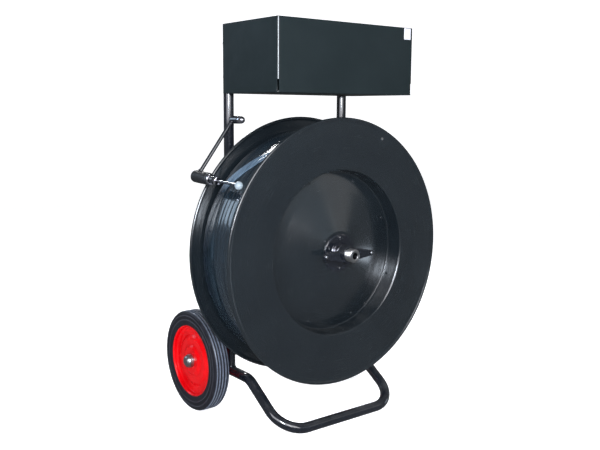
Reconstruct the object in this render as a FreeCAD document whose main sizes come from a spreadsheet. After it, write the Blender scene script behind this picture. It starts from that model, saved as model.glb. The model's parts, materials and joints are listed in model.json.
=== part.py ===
import FreeCAD, Part
import math
import os
import re
import Sketcher
from FreeCAD import Placement, Rotation, Vector

# Mobile strap coil trolley, millimetres. X runs across the trolley, -Y is the front,
# Z is up and z = 0 is the floor. The uprights stand in the plane y = upright_y.
DIMS = [
    ("upright_y", 38.0, "plane of the uprights, so the whole trolley is centred on y = 0"),
    ("tube_d", 25.0, "frame tube diameter"),
    ("tube_wall", 2.0, "frame tube wall"),
    ("upright_x", 180.0, "half spacing of the uprights and of the legs"),
    ("upright_top", 948.0, "top of the uprights"),
    ("leg_z", 106.0, "height of the level part of the legs"),
    ("leg_back", 48.0, "rear end of the legs behind the uprights"),
    ("leg_bend_y", -86.0, "where the legs bend down, from the uprights"),
    ("foot_y", -231.0, "front cross tube, from the uprights"),
    ("leg_bend_r", 53.0, "bend radius of the legs"),
    ("corner_bend_r", 70.0, "bend radius of the two front corners"),
    ("cross_gap", 45.0, "cross tubes above and below the spindle"),
    ("axle_y", 66.0, "wheel axle behind the uprights"),
    ("wheel_r", 128.0, "wheel radius"),
    ("wheel_x", 262.0, "outer face of the wheels"),
    ("tyre_w", 44.0, "tyre width"),
    ("rim_r", 89.5, "radius where the tyre sits on the rim"),
    ("axle_d", 20.0, "axle diameter"),
    ("wheel_bore", 20.1, "bore of the wheel hubs"),
    ("hub_d", 34.0, "wheel hub tube diameter"),
    ("plate_t", 5.0, "axle plate thickness"),
    ("reel_z", 421.0, "height of the spindle"),
    ("reel_mid", -133.5, "middle plane of the reel, from the uprights"),
    ("reel_r", 325.0, "flange radius"),
    ("sheet_t", 2.0, "sheet thickness of the flanges"),
    ("face_half", 82.5, "flange face from the middle plane"),
    ("hub_half", 74.5, "flange centre from the middle plane"),
    ("crease_half", 48.5, "foot of the centre cone from the middle plane"),
    ("dish_half", 41.5, "dish floor from the middle plane"),
    ("hub_flat_r", 52.0, "radius of the flat at the flange centre"),
    ("crease_r", 155.0, "radius at the foot of the centre cone"),
    ("dish_r", 196.0, "radius of the dish floor"),
    ("mouth_r", 205.0, "radius of the dish mouth"),
    ("bead_d", 8.0, "rolled bead at the flange edge"),
    ("spindle_d", 33.0, "spindle diameter"),
    ("spindle_bore", 15.0, "spindle bore"),
    ("spindle_front", -267.0, "front end of the spindle, from the uprights"),
    ("spindle_back", 34.0, "rear end of the spindle, from the uprights"),
    ("run_bore", 33.1, "bore of every part that turns or slides on the spindle"),
    ("bush_d", 46.0, "front bush diameter"),
    ("hub_plate_d", 94.0, "hub plate diameter"),
    ("hub_plate_t", 4.0, "hub plate thickness"),
    ("hub_bolt_pcd", 74.0, "bolt circle of the hub plates"),
    ("hub_bolt_d", 8.0, "hub bolt diameter"),
    ("core_id", 406.0, "standard core bore"),
    ("core_od", 418.0, "core outside diameter"),
    ("coil_d", 588.0, "wound coil diameter"),
    ("coil_w", 150.0, "coil width"),
    ("housing_d", 60.0, "bearing housing diameter"),
    ("housing_bore", 47.0, "bearing housing bore"),
    ("housing_front", -50.0, "front end of the housing, from the uprights"),
    ("housing_back", 20.0, "rear end of the housing, from the uprights"),
    ("wing_span", 156.0, "wing handle tip to tip"),
    ("wing_d", 44.0, "wing handle hub diameter"),
    ("box_w", 410.0, "toolbox width"),
    ("box_d", 223.7, "toolbox depth"),
    ("box_h", 162.0, "toolbox height"),
    ("box_z", 800.0, "underside of the toolbox"),
    ("box_wall", 2.0, "toolbox sheet"),
    ("box_gap", 0.3, "paint gap between the toolbox and the uprights"),
    ("box_bolt_d", 6.0, "toolbox bolt diameter"),
    ("pivot_x", -180.0, "brake arm pivot"),
    ("pivot_z", 738.0, "brake arm pivot height"),
    ("pivot_d", 10.0, "pivot pin diameter"),
    ("barrel_bore", 10.1, "brake arm barrel bore"),
    ("barrel_d", 19.0, "brake arm barrel diameter"),
    ("block_x", -285.7, "brake block axis above the rear rim"),
    ("block_z", 605.2, "height of the brake block axis above the rear rim"),
    ("block_d", 29.0, "brake block diameter"),
    ("guide_tilt", 2.4, "degrees the guide rod leans down towards the front"),
    ("guide_rise", 2.2194, "rise of the guide axis from the rim to the uprights' plane"),
    ("guide_d", 8.0, "guide rod diameter"),
    ("guide_tip_d", 6.0, "guide rod diameter ahead of its nut"),
    ("ball_d", 18.6, "ball end diameter"),
]

doc = FreeCAD.newDocument("StrapTrolley")
dims = doc.addObject("Spreadsheet::Sheet", "Dims")
for row, (alias, value, note) in enumerate(DIMS, start=1):
    dims.set("A%d" % row, alias)
    dims.set("B%d" % row, str(value))
    dims.set("C%d" % row, note)
    dims.setAlias("B%d" % row, alias)
doc.recompute()

NODES = []


def bound(text):
    """Expression with every dimension name pointing at the sheet."""
    return re.sub(r"[a-z][a-z_]+", lambda word: "Dims." + word.group(0), text)


def value(text):
    """Number that an expression of dimension names gives."""
    result = dims.evalExpression(bound(text))
    return float(getattr(result, "Value", result))


def place(obj, x="0", y="upright_y", z="0", rotation=None):
    """Place an object, each coordinate bound to the sheet."""
    spot = Vector(value(x), value(y), value(z))
    obj.Placement = Placement(spot, rotation or Rotation())
    obj.setExpression("Placement.Base.x", bound(x))
    obj.setExpression("Placement.Base.y", bound(y))
    obj.setExpression("Placement.Base.z", bound(z))


def keep(obj, name):
    """Mark an object as a sub-part that is written to its own file."""
    obj.Label = name
    NODES.append((name, obj))
    return obj


def new_body(name, x="0", y="upright_y", z="0", rotation=None):
    body = doc.addObject("PartDesign::Body", name)
    place(body, x, y, z, rotation)
    return keep(body, name)


def new_sketch(body, name, role):
    sketch = body.newObject("Sketcher::SketchObject", name)
    plane = [item for item in body.Origin.OriginFeatures if item.Role == role][0]
    sketch.AttachmentSupport = [(plane, "")]
    sketch.MapMode = "FlatFace"
    return sketch


def fix_point(sketch, geo, pos, x, y):
    """Hold a sketch point at an x and y bound to the sheet."""
    for kind, text in (("DistanceX", x), ("DistanceY", y)):
        mark = sketch.addConstraint(Sketcher.Constraint(kind, -1, 1, geo, pos, value(text)))
        sketch.setExpression("Constraints[%d]" % mark, bound(text))


def add_polygon(sketch, points):
    """Closed outline through points given as pairs of expressions."""
    spots = [Vector(value(x), value(y), 0) for x, y in points]
    count = len(spots)
    first = sketch.GeometryCount
    for i in range(count):
        sketch.addGeometry(Part.LineSegment(spots[i], spots[(i + 1) % count]), False)
    for i in range(count):
        follower = first + (i + 1) % count
        sketch.addConstraint(Sketcher.Constraint("Coincident", first + i, 2, follower, 1))
    for i, (x, y) in enumerate(points):
        fix_point(sketch, first + i, 1, x, y)


def add_circle(sketch, diameter, x="0", y="0"):
    spot = Vector(value(x), value(y), 0)
    circle = Part.Circle(spot, Vector(0, 0, 1), value(diameter) / 2)
    geo = sketch.addGeometry(circle, False)
    fix_point(sketch, geo, 3, x, y)
    mark = sketch.addConstraint(Sketcher.Constraint("Diameter", geo, value(diameter)))
    sketch.setExpression("Constraints[%d]" % mark, bound(diameter))


def add_rectangle(sketch, x_low, y_low, x_high, y_high):
    corners = [(x_low, y_low), (x_high, y_low), (x_high, y_high), (x_low, y_high)]
    add_polygon(sketch, corners)


def lift(sketch, height):
    """Move a sketch along its own normal, bound to the sheet."""
    sketch.AttachmentOffset = Placement(Vector(0, 0, value(height)), Rotation())
    sketch.setExpression("AttachmentOffset.Base.z", bound(height))


def extrude(body, kind, name, sketch, length, reverse=False, midplane=False):
    feature = body.newObject("PartDesign::" + kind, name)
    feature.Profile = sketch
    feature.Length = value(length)
    feature.setExpression("Length", bound(length))
    feature.Reversed = reverse
    feature.Midplane = midplane
    sketch.Visibility = False
    return feature


def turn(body, kind, name, sketch):
    """Revolve or groove a section about the sketch's horizontal axis."""
    feature = body.newObject("PartDesign::" + kind, name)
    feature.Profile = sketch
    feature.ReferenceAxis = (sketch, ["H_Axis"])
    feature.Angle = 360
    sketch.Visibility = False
    return feature


def turned_body(name, outline, role, x="0", y="upright_y", z="0", rotation=None):
    """Body turned from one section; the turning axis is the sketch's horizontal axis."""
    body = new_body(name, x, y, z, rotation)
    sketch = new_sketch(body, name + "_section", role)
    add_polygon(sketch, outline)
    turn(body, "Revolution", name + "_turned", sketch)
    return body


def spindle_part(name, outline):
    """Part turned about the spindle: section points are (y, radius)."""
    return turned_body(name, outline, "YZ_Plane", z="reel_z")


def ring_outline(start, end, outer, inner):
    return [(start, inner), (end, inner), (end, outer), (start, outer)]


def polar_holes(body, name, diameter, pcd, length):
    """Four through holes round the spindle axis."""
    sketch = new_sketch(body, name + "_circles", "XZ_Plane")
    reach = "%s / 2" % pcd
    for x, y in ((reach, "0"), ("0", reach), ("-" + reach, "0"), ("0", "-" + reach)):
        add_circle(sketch, diameter, x, y)
    return extrude(body, "Pocket", name, sketch, length, midplane=True)


def rounded_path(points, radii):
    """Wire through the points, each inner corner rounded to its radius."""
    edges = []
    start = points[0]
    for i in range(1, len(points) - 1):
        corner = points[i]
        back = (points[i - 1] - corner).normalize()
        ahead = (points[i + 1] - corner).normalize()
        half = back.getAngle(ahead) / 2
        reach = radii[i - 1] / math.tan(half)
        enter = corner + back * reach
        leave = corner + ahead * reach
        bisector = (back + ahead).normalize()
        middle = corner + bisector * (radii[i - 1] / math.sin(half) - radii[i - 1])
        edges.append(Part.LineSegment(start, enter).toShape())
        edges.append(Part.Arc(enter, middle, leave).toShape())
        start = leave
    edges.append(Part.LineSegment(start, points[-1]).toShape())
    return Part.Wire(edges)


def swept_rod(path, radius):
    edge = path.Edges[0]
    spot = edge.valueAt(edge.FirstParameter)
    heading = edge.tangentAt(edge.FirstParameter)
    ring = Part.Wire([Part.makeCircle(radius, spot, heading)])
    return path.makePipeShell([ring], True, False)


def make_foot_tube():
    """One bent tube: level legs, slopes down to the floor and the front cross tube."""
    x = value("upright_x")
    z = value("leg_z")
    floor = value("tube_d / 2")
    points = [
        Vector(-x, value("leg_back"), z),
        Vector(-x, value("leg_bend_y"), z),
        Vector(-x, value("foot_y"), floor),
        Vector(x, value("foot_y"), floor),
        Vector(x, value("leg_bend_y"), z),
        Vector(x, value("leg_back"), z),
    ]
    leg = value("leg_bend_r")
    corner = value("corner_bend_r")
    path = rounded_path(points, [leg, corner, corner, leg])
    outside = swept_rod(path, value("tube_d / 2"))
    inside = swept_rod(path, value("tube_d / 2 - tube_wall"))
    foot = doc.addObject("Part::Feature", "foot_tube")
    foot.Shape = outside.cut(inside)
    place(foot)
    keep(foot, "foot_tube")


def make_upright(name, x):
    """Tube saddled on the leg, with two cross holes for the toolbox bolts."""
    body = new_body(name, x)
    ring = new_sketch(body, name + "_ring", "XY_Plane")
    add_circle(ring, "tube_d")
    add_circle(ring, "tube_d - 2 * tube_wall")
    extrude(body, "Pad", name + "_tube", ring, "upright_top")
    saddle = new_sketch(body, name + "_saddle", "XZ_Plane")
    half = "tube_d / 2"
    add_circle(saddle, "tube_d", "0", "leg_z")
    extrude(body, "Pocket", name + "_saddle_cut", saddle, "2 * tube_d", midplane=True)
    below = new_sketch(body, name + "_below", "XZ_Plane")
    add_rectangle(below, "-" + half + " - 1", "-1", half + " + 1", "leg_z")
    extrude(body, "Pocket", name + "_below_cut", below, "2 * tube_d", midplane=True)
    holes = new_sketch(body, name + "_holes", "XZ_Plane")
    for height in ("box_z + 40", "box_z + 120"):
        add_circle(holes, "box_bolt_d + 0.4", "0", height)
    extrude(body, "Pocket", name + "_bolt_holes", holes, "2 * tube_d", midplane=True)


def make_crossbar(name, height):
    """Tube between the uprights with both ends coped to their curve."""
    body = new_body(name, "0", "upright_y", height)
    ring = new_sketch(body, name + "_ring", "YZ_Plane")
    add_circle(ring, "tube_d")
    add_circle(ring, "tube_d - 2 * tube_wall")
    extrude(body, "Pad", name + "_tube", ring, "2 * upright_x", midplane=True)
    copes = new_sketch(body, name + "_copes", "XY_Plane")
    add_circle(copes, "tube_d", "upright_x")
    add_circle(copes, "tube_d", "-upright_x")
    extrude(body, "Pocket", name + "_cope_cut", copes, "2 * tube_d", midplane=True)


def make_tube_plug(name, x, y, z, rotation):
    """Domed plastic plug that closes a tube end."""
    body = new_body(name, x, y, z, rotation)
    sketch = new_sketch(body, name + "_section", "XZ_Plane")
    half = "tube_d / 2"
    stem = "tube_d / 2 - tube_wall"
    add_polygon(sketch, [
        ("0", "-14"), (stem, "-14"), (stem, "0"), (half, "0"), (half, "1.5"),
        ("tube_d / 2 - 2.5", "3.6"), ("tube_d / 2 - 6", "4.5"), ("0", "5"),
    ])
    feature = body.newObject("PartDesign::Revolution", name + "_turned")
    feature.Profile = sketch
    feature.ReferenceAxis = (sketch, ["V_Axis"])
    feature.Angle = 360


def make_axle_plate(name, side):
    """Plate welded outside a leg's rear end; it carries the axle above the leg."""
    start = "upright_x + tube_d / 2" if side > 0 else "-upright_x - tube_d / 2 - plate_t"
    body = new_body(name, start)
    outline = new_sketch(body, name + "_outline", "YZ_Plane")
    add_polygon(outline, [
        ("axle_y - 58", "leg_z - 12"), ("axle_y + 8", "leg_z - 12"),
        ("axle_y + 22", "wheel_r - 12"), ("axle_y + 22", "wheel_r + 12"),
        ("axle_y + 10", "wheel_r + 22"), ("axle_y - 10", "wheel_r + 22"),
        ("axle_y - 58", "leg_z + 12"),
    ])
    extrude(body, "Pad", name + "_plate", outline, "plate_t")
    hole = new_sketch(body, name + "_hole", "YZ_Plane")
    add_circle(hole, "axle_d", "axle_y", "wheel_r")
    extrude(body, "Pocket", name + "_axle_hole", hole, "plate_t * 3", midplane=True)


def axle_part(name, outline):
    """Part turned about the wheel axle: section points are (x, radius)."""
    return turned_body(name, outline, "XY_Plane", "0", "upright_y + axle_y", "wheel_r")


def make_axle():
    end = "wheel_x + 7"
    body = axle_part("wheel_axle", [
        ("-(%s)" % end, "0"), (end, "0"), (end, "axle_d / 2 - 1.5"),
        ("wheel_x + 5.5", "axle_d / 2"), ("-(wheel_x + 5.5)", "axle_d / 2"),
        ("-(%s)" % end, "axle_d / 2 - 1.5"),
    ])
    return body


def mirrored(points, side):
    """Section for the wheel on one side: x measured outward from the centre."""
    if side > 0:
        return points
    return [("-(%s)" % x, r) for x, r in points]


def make_axle_fittings(name, side):
    """Spacer between the axle plate and the wheel, and the domed cap at the axle end."""
    plate_face = "upright_x + tube_d / 2 + plate_t"
    inner_face = "wheel_x - tyre_w"
    spacer = ring_outline(plate_face, inner_face + " - 0.3", "14", "axle_d / 2")
    axle_part(name + "_axle_spacer", mirrored(spacer, side))
    cap = [
        ("wheel_x + 1.4", "axle_d / 2"), ("wheel_x + 1.4", "16.6"), ("wheel_x + 4", "16.6"),
        ("wheel_x + 8", "14.4"), ("wheel_x + 11.4", "10"), ("wheel_x + 12.8", "4.8"),
        ("wheel_x + 13.2", "0"), ("wheel_x + 7.2", "0"), ("wheel_x + 7.2", "axle_d / 2"),
    ]
    axle_part(name + "_axle_cap", mirrored(cap, side))


def make_wheel(name, side):
    """Solid rubber tyre with four tread grooves on a pressed rim with a hub tube."""
    inner = "wheel_x - tyre_w"
    tyre = [
        (inner + " + 3", "rim_r"), ("wheel_x - 3", "rim_r"), ("wheel_x - 1", "rim_r + 4"),
        ("wheel_x", "rim_r + 9"), ("wheel_x", "wheel_r - 13"),
        ("wheel_x - 1.5", "wheel_r - 6"), ("wheel_x - 4", "wheel_r - 2"),
        ("wheel_x - 8", "wheel_r"), (inner + " + 8", "wheel_r"),
        (inner + " + 4", "wheel_r - 2"), (inner + " + 1.5", "wheel_r - 6"),
        (inner, "wheel_r - 13"), (inner, "rim_r + 9"), (inner + " + 1", "rim_r + 4"),
    ]
    body = axle_part(name + "_tyre", mirrored(tyre, side))
    grooves = new_sketch(body, name + "_tread", "XY_Plane")
    for step in range(4):
        low = "wheel_x - tyre_w / 2 + %.2f" % (-14.8 + 8.2 * step)
        high = low + " + 5"
        corners = [(low, "wheel_r - 2.2"), (high, "wheel_r - 2.2"),
                   (high, "wheel_r + 1"), (low, "wheel_r + 1")]
        add_polygon(grooves, mirrored(corners, side))
    turn(body, "Groove", name + "_tread_grooves", grooves)
    rim = [
        (inner + " + 4", "rim_r"), (inner + " + 4", "rim_r - 2.5"),
        ("wheel_x - 15", "rim_r - 2.5"), ("wheel_x - 17", "rim_r - 8"),
        ("wheel_x - 17", "66"), ("wheel_x - 12", "58"), ("wheel_x - 12", "40"),
        ("wheel_x - 7", "32"), ("wheel_x - 7", "hub_d / 2"),
        ("wheel_x - 4.5", "hub_d / 2"), ("wheel_x - 4.5", "33"),
        ("wheel_x - 9.5", "41"), ("wheel_x - 9.5", "59"), ("wheel_x - 14.5", "67"),
        ("wheel_x - 14.5", "rim_r - 8.5"), ("wheel_x - 12", "rim_r - 3.5"),
        ("wheel_x - 4", "rim_r - 2.5"), ("wheel_x - 1.5", "rim_r + 0.5"),
        ("wheel_x - 3", "rim_r"),
    ]
    axle_part(name + "_rim", mirrored(rim, side))
    hub = ring_outline(inner, "wheel_x + 1", "hub_d / 2", "wheel_bore / 2")
    axle_part(name + "_hub", mirrored(hub, side))


def make_bearing_group():
    """Plate on the two cross tubes with the housing and two plain bearings."""
    plate = new_body("bearing_plate", z="reel_z")
    outline = new_sketch(plate, "bearing_plate_outline", "XZ_Plane")
    add_rectangle(outline, "-70", "-cross_gap - 30", "70", "cross_gap + 30")
    add_circle(outline, "housing_d")
    lift(outline, "tube_d / 2")
    extrude(plate, "Pad", "bearing_plate_pad", outline, "6")
    spindle_part("bearing_housing", ring_outline(
        "housing_front", "housing_back", "housing_d / 2", "housing_bore / 2"))
    front = ring_outline(
        "housing_front", "housing_front + 14", "housing_bore / 2", "run_bore / 2")
    spindle_part("front_bearing", front)
    rear = ring_outline(
        "housing_back - 14", "housing_back", "housing_bore / 2", "run_bore / 2")
    spindle_part("rear_bearing", rear)


def flange_outline(side, bore):
    """Section of a pressed flange; side is -1 at the front and +1 at the back."""
    def at(half):
        sign = "-" if side < 0 else "+"
        return "reel_mid %s (%s)" % (sign, half)
    bead = "bead_d / 2"
    return [
        (at("hub_half"), bore), (at("hub_half"), "hub_flat_r"),
        (at("crease_half"), "crease_r"), (at("dish_half"), "dish_r"),
        (at("dish_half + 37.5"), "dish_r + 4.5"), (at("face_half - 0.8"), "mouth_r - 1.6"),
        (at("face_half"), "mouth_r"), (at("face_half"), "reel_r - bead_d"),
        (at("face_half + 1.2"), "reel_r - bead_d + 1.2"),
        (at("face_half + 1.6"), "reel_r - " + bead),
        (at("face_half + 0.6"), "reel_r - 1.4"), (at("face_half - 2"), "reel_r"),
        (at("face_half - 4.6"), "reel_r - 1.4"), (at("face_half - 6"), "reel_r - " + bead),
        (at("face_half - 5"), "reel_r - bead_d + 1.2"),
        (at("face_half - sheet_t"), "reel_r - bead_d"),
        (at("face_half - sheet_t"), "mouth_r + 0.8"),
        (at("face_half - 4"), "dish_r + 6.6"), (at("dish_half - 2.2"), "dish_r + 2"),
        (at("crease_half - 2.1"), "crease_r"), (at("hub_half - sheet_t"), "hub_flat_r - 0.6"),
        (at("hub_half - sheet_t"), bore),
    ]


def make_flange(name, side, bore):
    body = spindle_part(name, flange_outline(side, bore))
    holes = polar_holes(body, name + "_bolt_holes", "hub_bolt_d + 0.4", "hub_bolt_pcd", "600")
    return body


def hex_bolt(name, across, head, shank_d, shank, x, y, z, rotation):
    """Hexagon bolt: head on local +Z side of the seat, shank on the other side."""
    prism = doc.addObject("Part::Prism", name + "_head")
    prism.Polygon = 6
    prism.Circumradius = across / math.sqrt(3)
    prism.Height = head
    stem = doc.addObject("Part::Cylinder", name + "_stem")
    stem.setExpression("Radius", bound(shank_d + " / 2"))
    stem.Height = shank
    stem.Placement = Placement(Vector(0, 0, -shank), Rotation())
    bolt = doc.addObject("Part::MultiFuse", name)
    bolt.Shapes = [prism, stem]
    place(bolt, x, y, z, rotation)
    return bolt


def bolt_group(name, members):
    group = doc.addObject("Part::Compound", name)
    group.Links = members
    keep(group, name)


def hub_bolt_group(name, seat_y, rotation, shank):
    reach = "hub_bolt_pcd / 2"
    spots = [(reach, "reel_z"), ("0", "reel_z + " + reach),
             ("-" + reach, "reel_z"), ("0", "reel_z - " + reach)]
    members = []
    for i, (x, z) in enumerate(spots):
        bolt = hex_bolt("%s_%d" % (name, i), 11.0, 4.6, "hub_bolt_d", shank,
                        x, "upright_y + " + seat_y, z, rotation)
        members.append(bolt)
    bolt_group(name, members)


def hub_nut_group(name, seat_y, rotation):
    reach = "hub_bolt_pcd / 2"
    spots = [(reach, "reel_z"), ("0", "reel_z + " + reach),
             ("-" + reach, "reel_z"), ("0", "reel_z - " + reach)]
    members = []
    for i, (x, z) in enumerate(spots):
        nut = hex_nut("%s_%d" % (name, i), 11.0, 5.0, "hub_bolt_d",
                      x, "upright_y + " + seat_y, z, rotation)
        members.append(nut)
    bolt_group(name, members)


def hex_nut(name, across, height, bore, x, y, z, rotation):
    prism = doc.addObject("Part::Prism", name + "_hex")
    prism.Polygon = 6
    prism.Circumradius = across / math.sqrt(3)
    prism.Height = height
    hole = doc.addObject("Part::Cylinder", name + "_hole")
    hole.setExpression("Radius", bound(bore + " / 2"))
    hole.Height = height
    nut = doc.addObject("Part::Cut", name)
    nut.Base = prism
    nut.Tool = hole
    place(nut, x, y, z, rotation)
    return nut


def make_reel():
    """Turning spindle with the rear flange, its hub and the coil of strap."""
    spindle = spindle_part("spindle", [
        ("spindle_front", "spindle_bore / 2 + 1"), ("spindle_front + 1", "spindle_bore / 2"),
        ("spindle_back", "spindle_bore / 2"), ("spindle_back", "spindle_d / 2"),
        ("spindle_front + 1.5", "spindle_d / 2"), ("spindle_front", "spindle_d / 2 - 1.5"),
    ])
    spindle_part("rear_collar", ring_outline(
        "housing_back + 0.3", "housing_back + 11", "25", "spindle_d / 2"))
    seat = "reel_mid + hub_half"
    hub = spindle_part("rear_hub", [
        (seat, "spindle_d / 2"), (seat, "hub_plate_d / 2"),
        (seat + " + 5", "hub_plate_d / 2"), (seat + " + 5", "bush_d / 2"),
        ("housing_front - 0.3", "bush_d / 2"), ("housing_front - 0.3", "spindle_d / 2"),
    ])
    polar_holes(hub, "rear_hub_bolt_holes", "hub_bolt_d + 0.4", "hub_bolt_pcd", "600")
    make_flange("rear_flange", 1, "spindle_d / 2")
    outward = Rotation(Vector(1, 0, 0), -90)
    inward = Rotation(Vector(1, 0, 0), 90)
    hub_bolt_group("rear_hub_bolts", seat + " + 5", outward, 14.0)
    hub_nut_group("rear_hub_nuts", seat + " - sheet_t", inward)
    half = "coil_w / 2"
    low = "reel_mid - " + half
    high = "reel_mid + " + half
    spindle_part("coil_core", ring_outline(low, high, "core_od / 2", "core_id / 2"))
    spindle_part("strap_coil", [
        (low + " + 1", "core_od / 2"), (high + " - 1", "core_od / 2"),
        (high, "core_od / 2 + 3"), (high, "coil_d / 2 - 5"), (high + " - 3", "coil_d / 2 - 1"),
        (high + " - 6", "coil_d / 2"), (low + " + 6", "coil_d / 2"),
        (low + " + 3", "coil_d / 2 - 1"), (low, "coil_d / 2 - 5"), (low, "core_od / 2 + 3"),
    ])


def make_front_flange():
    """Front flange with its bush, hub plate, bolts, rivets and one rim screw."""
    make_flange("front_flange", -1, "bush_d / 2")
    seat = "reel_mid - hub_half"
    spindle_part("front_bush", ring_outline(
        seat + " - 16", seat + " + 9", "bush_d / 2", "run_bore / 2"))
    plate = spindle_part("hub_plate", ring_outline(
        seat + " - hub_plate_t", seat, "hub_plate_d / 2", "bush_d / 2"))
    polar_holes(plate, "hub_plate_holes", "hub_bolt_d + 0.4", "hub_bolt_pcd", "600")
    outward = Rotation(Vector(1, 0, 0), 90)
    inward = Rotation(Vector(1, 0, 0), -90)
    hub_bolt_group("hub_bolts", seat + " - hub_plate_t", outward, 13.0)
    hub_nut_group("hub_nuts", seat + " + sheet_t", inward)
    rivets = []
    for i in range(8):
        angle = math.radians(22.5 + 45.0 * i)
        rivet = doc.addObject("Part::Cylinder", "flange_rivet_%d" % i)
        rivet.Radius = 3.0
        rivet.Height = 2.0
        x = "%.6f * (dish_r - 15)" % math.cos(angle)
        z = "reel_z + %.6f * (dish_r - 15)" % math.sin(angle)
        place(rivet, x, "upright_y + reel_mid - dish_half - 3.2", z, outward)
        rivets.append(rivet)
    bolt_group("flange_rivets", rivets)
    screw = doc.addObject("Part::Cylinder", "rim_screw")
    screw.Radius = 3.2
    screw.Height = 1.6
    place(screw, "128", "upright_y + reel_mid - face_half", "reel_z + 272", outward)
    keep(screw, "rim_screw")


def make_wing_handle():
    """Two-armed hand nut that clamps the front flange, with a pin in each tip."""
    front = "reel_mid - hub_half - 41"
    body = new_body("wing_handle", z="reel_z")
    hub = new_sketch(body, "wing_hub_section", "YZ_Plane")
    add_polygon(hub, ring_outline(front, front + " + 24", "wing_d / 2", "run_bore / 2"))
    turn(body, "Revolution", "wing_hub", hub)
    doc.recompute()
    arms = new_sketch(body, "wing_arms_outline", "XZ_Plane")
    tip = "wing_span / 2"
    add_polygon(arms, [
        ("-%s + 4" % tip, "-4"), ("-22", "-15"), ("22", "-15"), (tip + " - 4", "-9"),
        (tip, "-5"), (tip, "1"), (tip + " - 4", "4"), ("22", "15"), ("-22", "15"),
        ("-%s + 4" % tip, "9"), ("-" + tip, "5"), ("-" + tip, "-1"),
    ])
    add_circle(arms, "run_bore")
    lift(arms, "-(%s) - 9" % front)
    extrude(body, "Pad", "wing_arms", arms, "8")
    outward = Rotation(Vector(1, 0, 0), 90)
    pins = []
    for i, sign in enumerate(("", "-")):
        pin = doc.addObject("Part::Cylinder", "wing_pin_%d" % i)
        pin.Radius = 3.4
        pin.Height = 2.4
        x = "%s(wing_span / 2 - 7)" % sign
        z = "reel_z - 2" if sign == "" else "reel_z + 2"
        place(pin, x, "upright_y + %s + 1" % front, z, outward)
        pins.append(pin)
    bolt_group("wing_pins", pins)


def make_brake():
    """Gravity brake: barrel, arm, block on the rear rim and the strap guide rod."""
    def pivot_part(name, outline):
        return turned_body(name, outline, "YZ_Plane", "pivot_x", "upright_y", "pivot_z")

    lean = Rotation(Vector(1, 0, 0), value("guide_tilt"))
    ahead = Rotation(Vector(1, 0, 0), 90 + value("guide_tilt"))

    def guide_part(name, outline):
        return turned_body(name, outline, "YZ_Plane", "block_x", "upright_y",
                           "block_z + guide_rise", lean)

    def on_guide(obj, distance):
        """Place a part on the leaning guide axis, its z axis pointing forward."""
        spot = lean.multVec(Vector(0, -distance, 0))
        place(obj, "block_x", "upright_y - %.4f" % -spot.y,
              "block_z + guide_rise - %.4f" % -spot.z, ahead)

    pivot_part("pivot_pin", [
        ("-tube_d / 2", "0"), ("-60", "0"), ("-60", "pivot_d / 2"),
        ("-tube_d / 2", "pivot_d / 2"),
    ])
    pivot_part("pivot_cap", [
        ("-48.3", "pivot_d / 2"), ("-48.3", "9"), ("-55", "9"), ("-58", "8.4"),
        ("-62", "6.6"), ("-65", "4"), ("-66", "0"), ("-60", "0"), ("-60", "pivot_d / 2"),
    ])
    pivot_part("arm_barrel", ring_outline("-48", "-14.5", "barrel_d / 2", "barrel_bore / 2"))
    start = Vector(value("pivot_x") - 6, value("upright_y") - 25, value("pivot_z") - 1)
    end = Vector(value("block_x") + 2, value("upright_y") - 25, value("block_z") + 2)
    rod = doc.addObject("Part::Cylinder", "arm_bar")
    rod.Radius = 4.6
    rod.Height = (end - start).Length
    rod.Placement = Placement(start, Rotation(Vector(0, 0, 1), end - start))
    cutters = []
    for label, radius in (("arm_top", "barrel_d / 2"), ("arm_end", "block_d / 2")):
        cutter = doc.addObject("Part::Cylinder", label)
        cutter.setExpression("Radius", bound(radius))
        cutter.Height = 80
        cutters.append(cutter)
    place(cutters[0], "pivot_x", "upright_y", "pivot_z", Rotation(Vector(1, 0, 0), 90))
    on_guide(cutters[1], 0.0)
    ends = doc.addObject("Part::MultiFuse", "arm_ends")
    ends.Shapes = cutters
    arm = doc.addObject("Part::Cut", "brake_arm")
    arm.Base = rod
    arm.Tool = ends
    keep(arm, "brake_arm")
    guide_part("brake_block", [
        ("-19", "guide_d / 2"), ("-19", "block_d / 2 - 1.5"), ("-20.5", "block_d / 2"),
        ("-80.5", "block_d / 2"), ("-82", "block_d / 2 - 1.5"), ("-82", "guide_d / 2"),
    ])
    guide_part("guide_rod", [
        ("-15", "0"), ("-200", "0"), ("-200", "guide_tip_d / 2 - 1"),
        ("-199", "guide_tip_d / 2"), ("-121", "guide_tip_d / 2"), ("-120", "guide_d / 2"),
        ("-15", "guide_d / 2"),
    ])
    guide_part("guide_washer", ring_outline("-84", "-82", "13.5", "guide_d / 2"))
    guide_part("guide_ring", [
        ("-84", "guide_d / 2"), ("-84", "11"), ("-86", "12.5"), ("-89", "12.5"),
        ("-91", "11"), ("-91", "guide_d / 2"),
    ])
    guide_part("guide_collar", ring_outline("-106", "-94", "9.5", "guide_d / 2"))
    nut = hex_nut("guide_nut", 17.0, 9.0, "guide_d", "block_x", "upright_y", "block_z", ahead)
    on_guide(nut, 110.0)
    keep(nut, "guide_nut")
    ball = doc.addObject("Part::Sphere", "ball_blank")
    ball.setExpression("Radius", bound("ball_d / 2"))
    on_guide(ball, 204.0)
    socket = doc.addObject("Part::Cylinder", "ball_socket")
    socket.setExpression("Radius", bound("guide_tip_d / 2"))
    socket.Height = 20
    on_guide(socket, 180.0)
    end = doc.addObject("Part::Cut", "ball_end")
    end.Base = ball
    end.Tool = socket
    keep(end, "ball_end")


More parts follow.
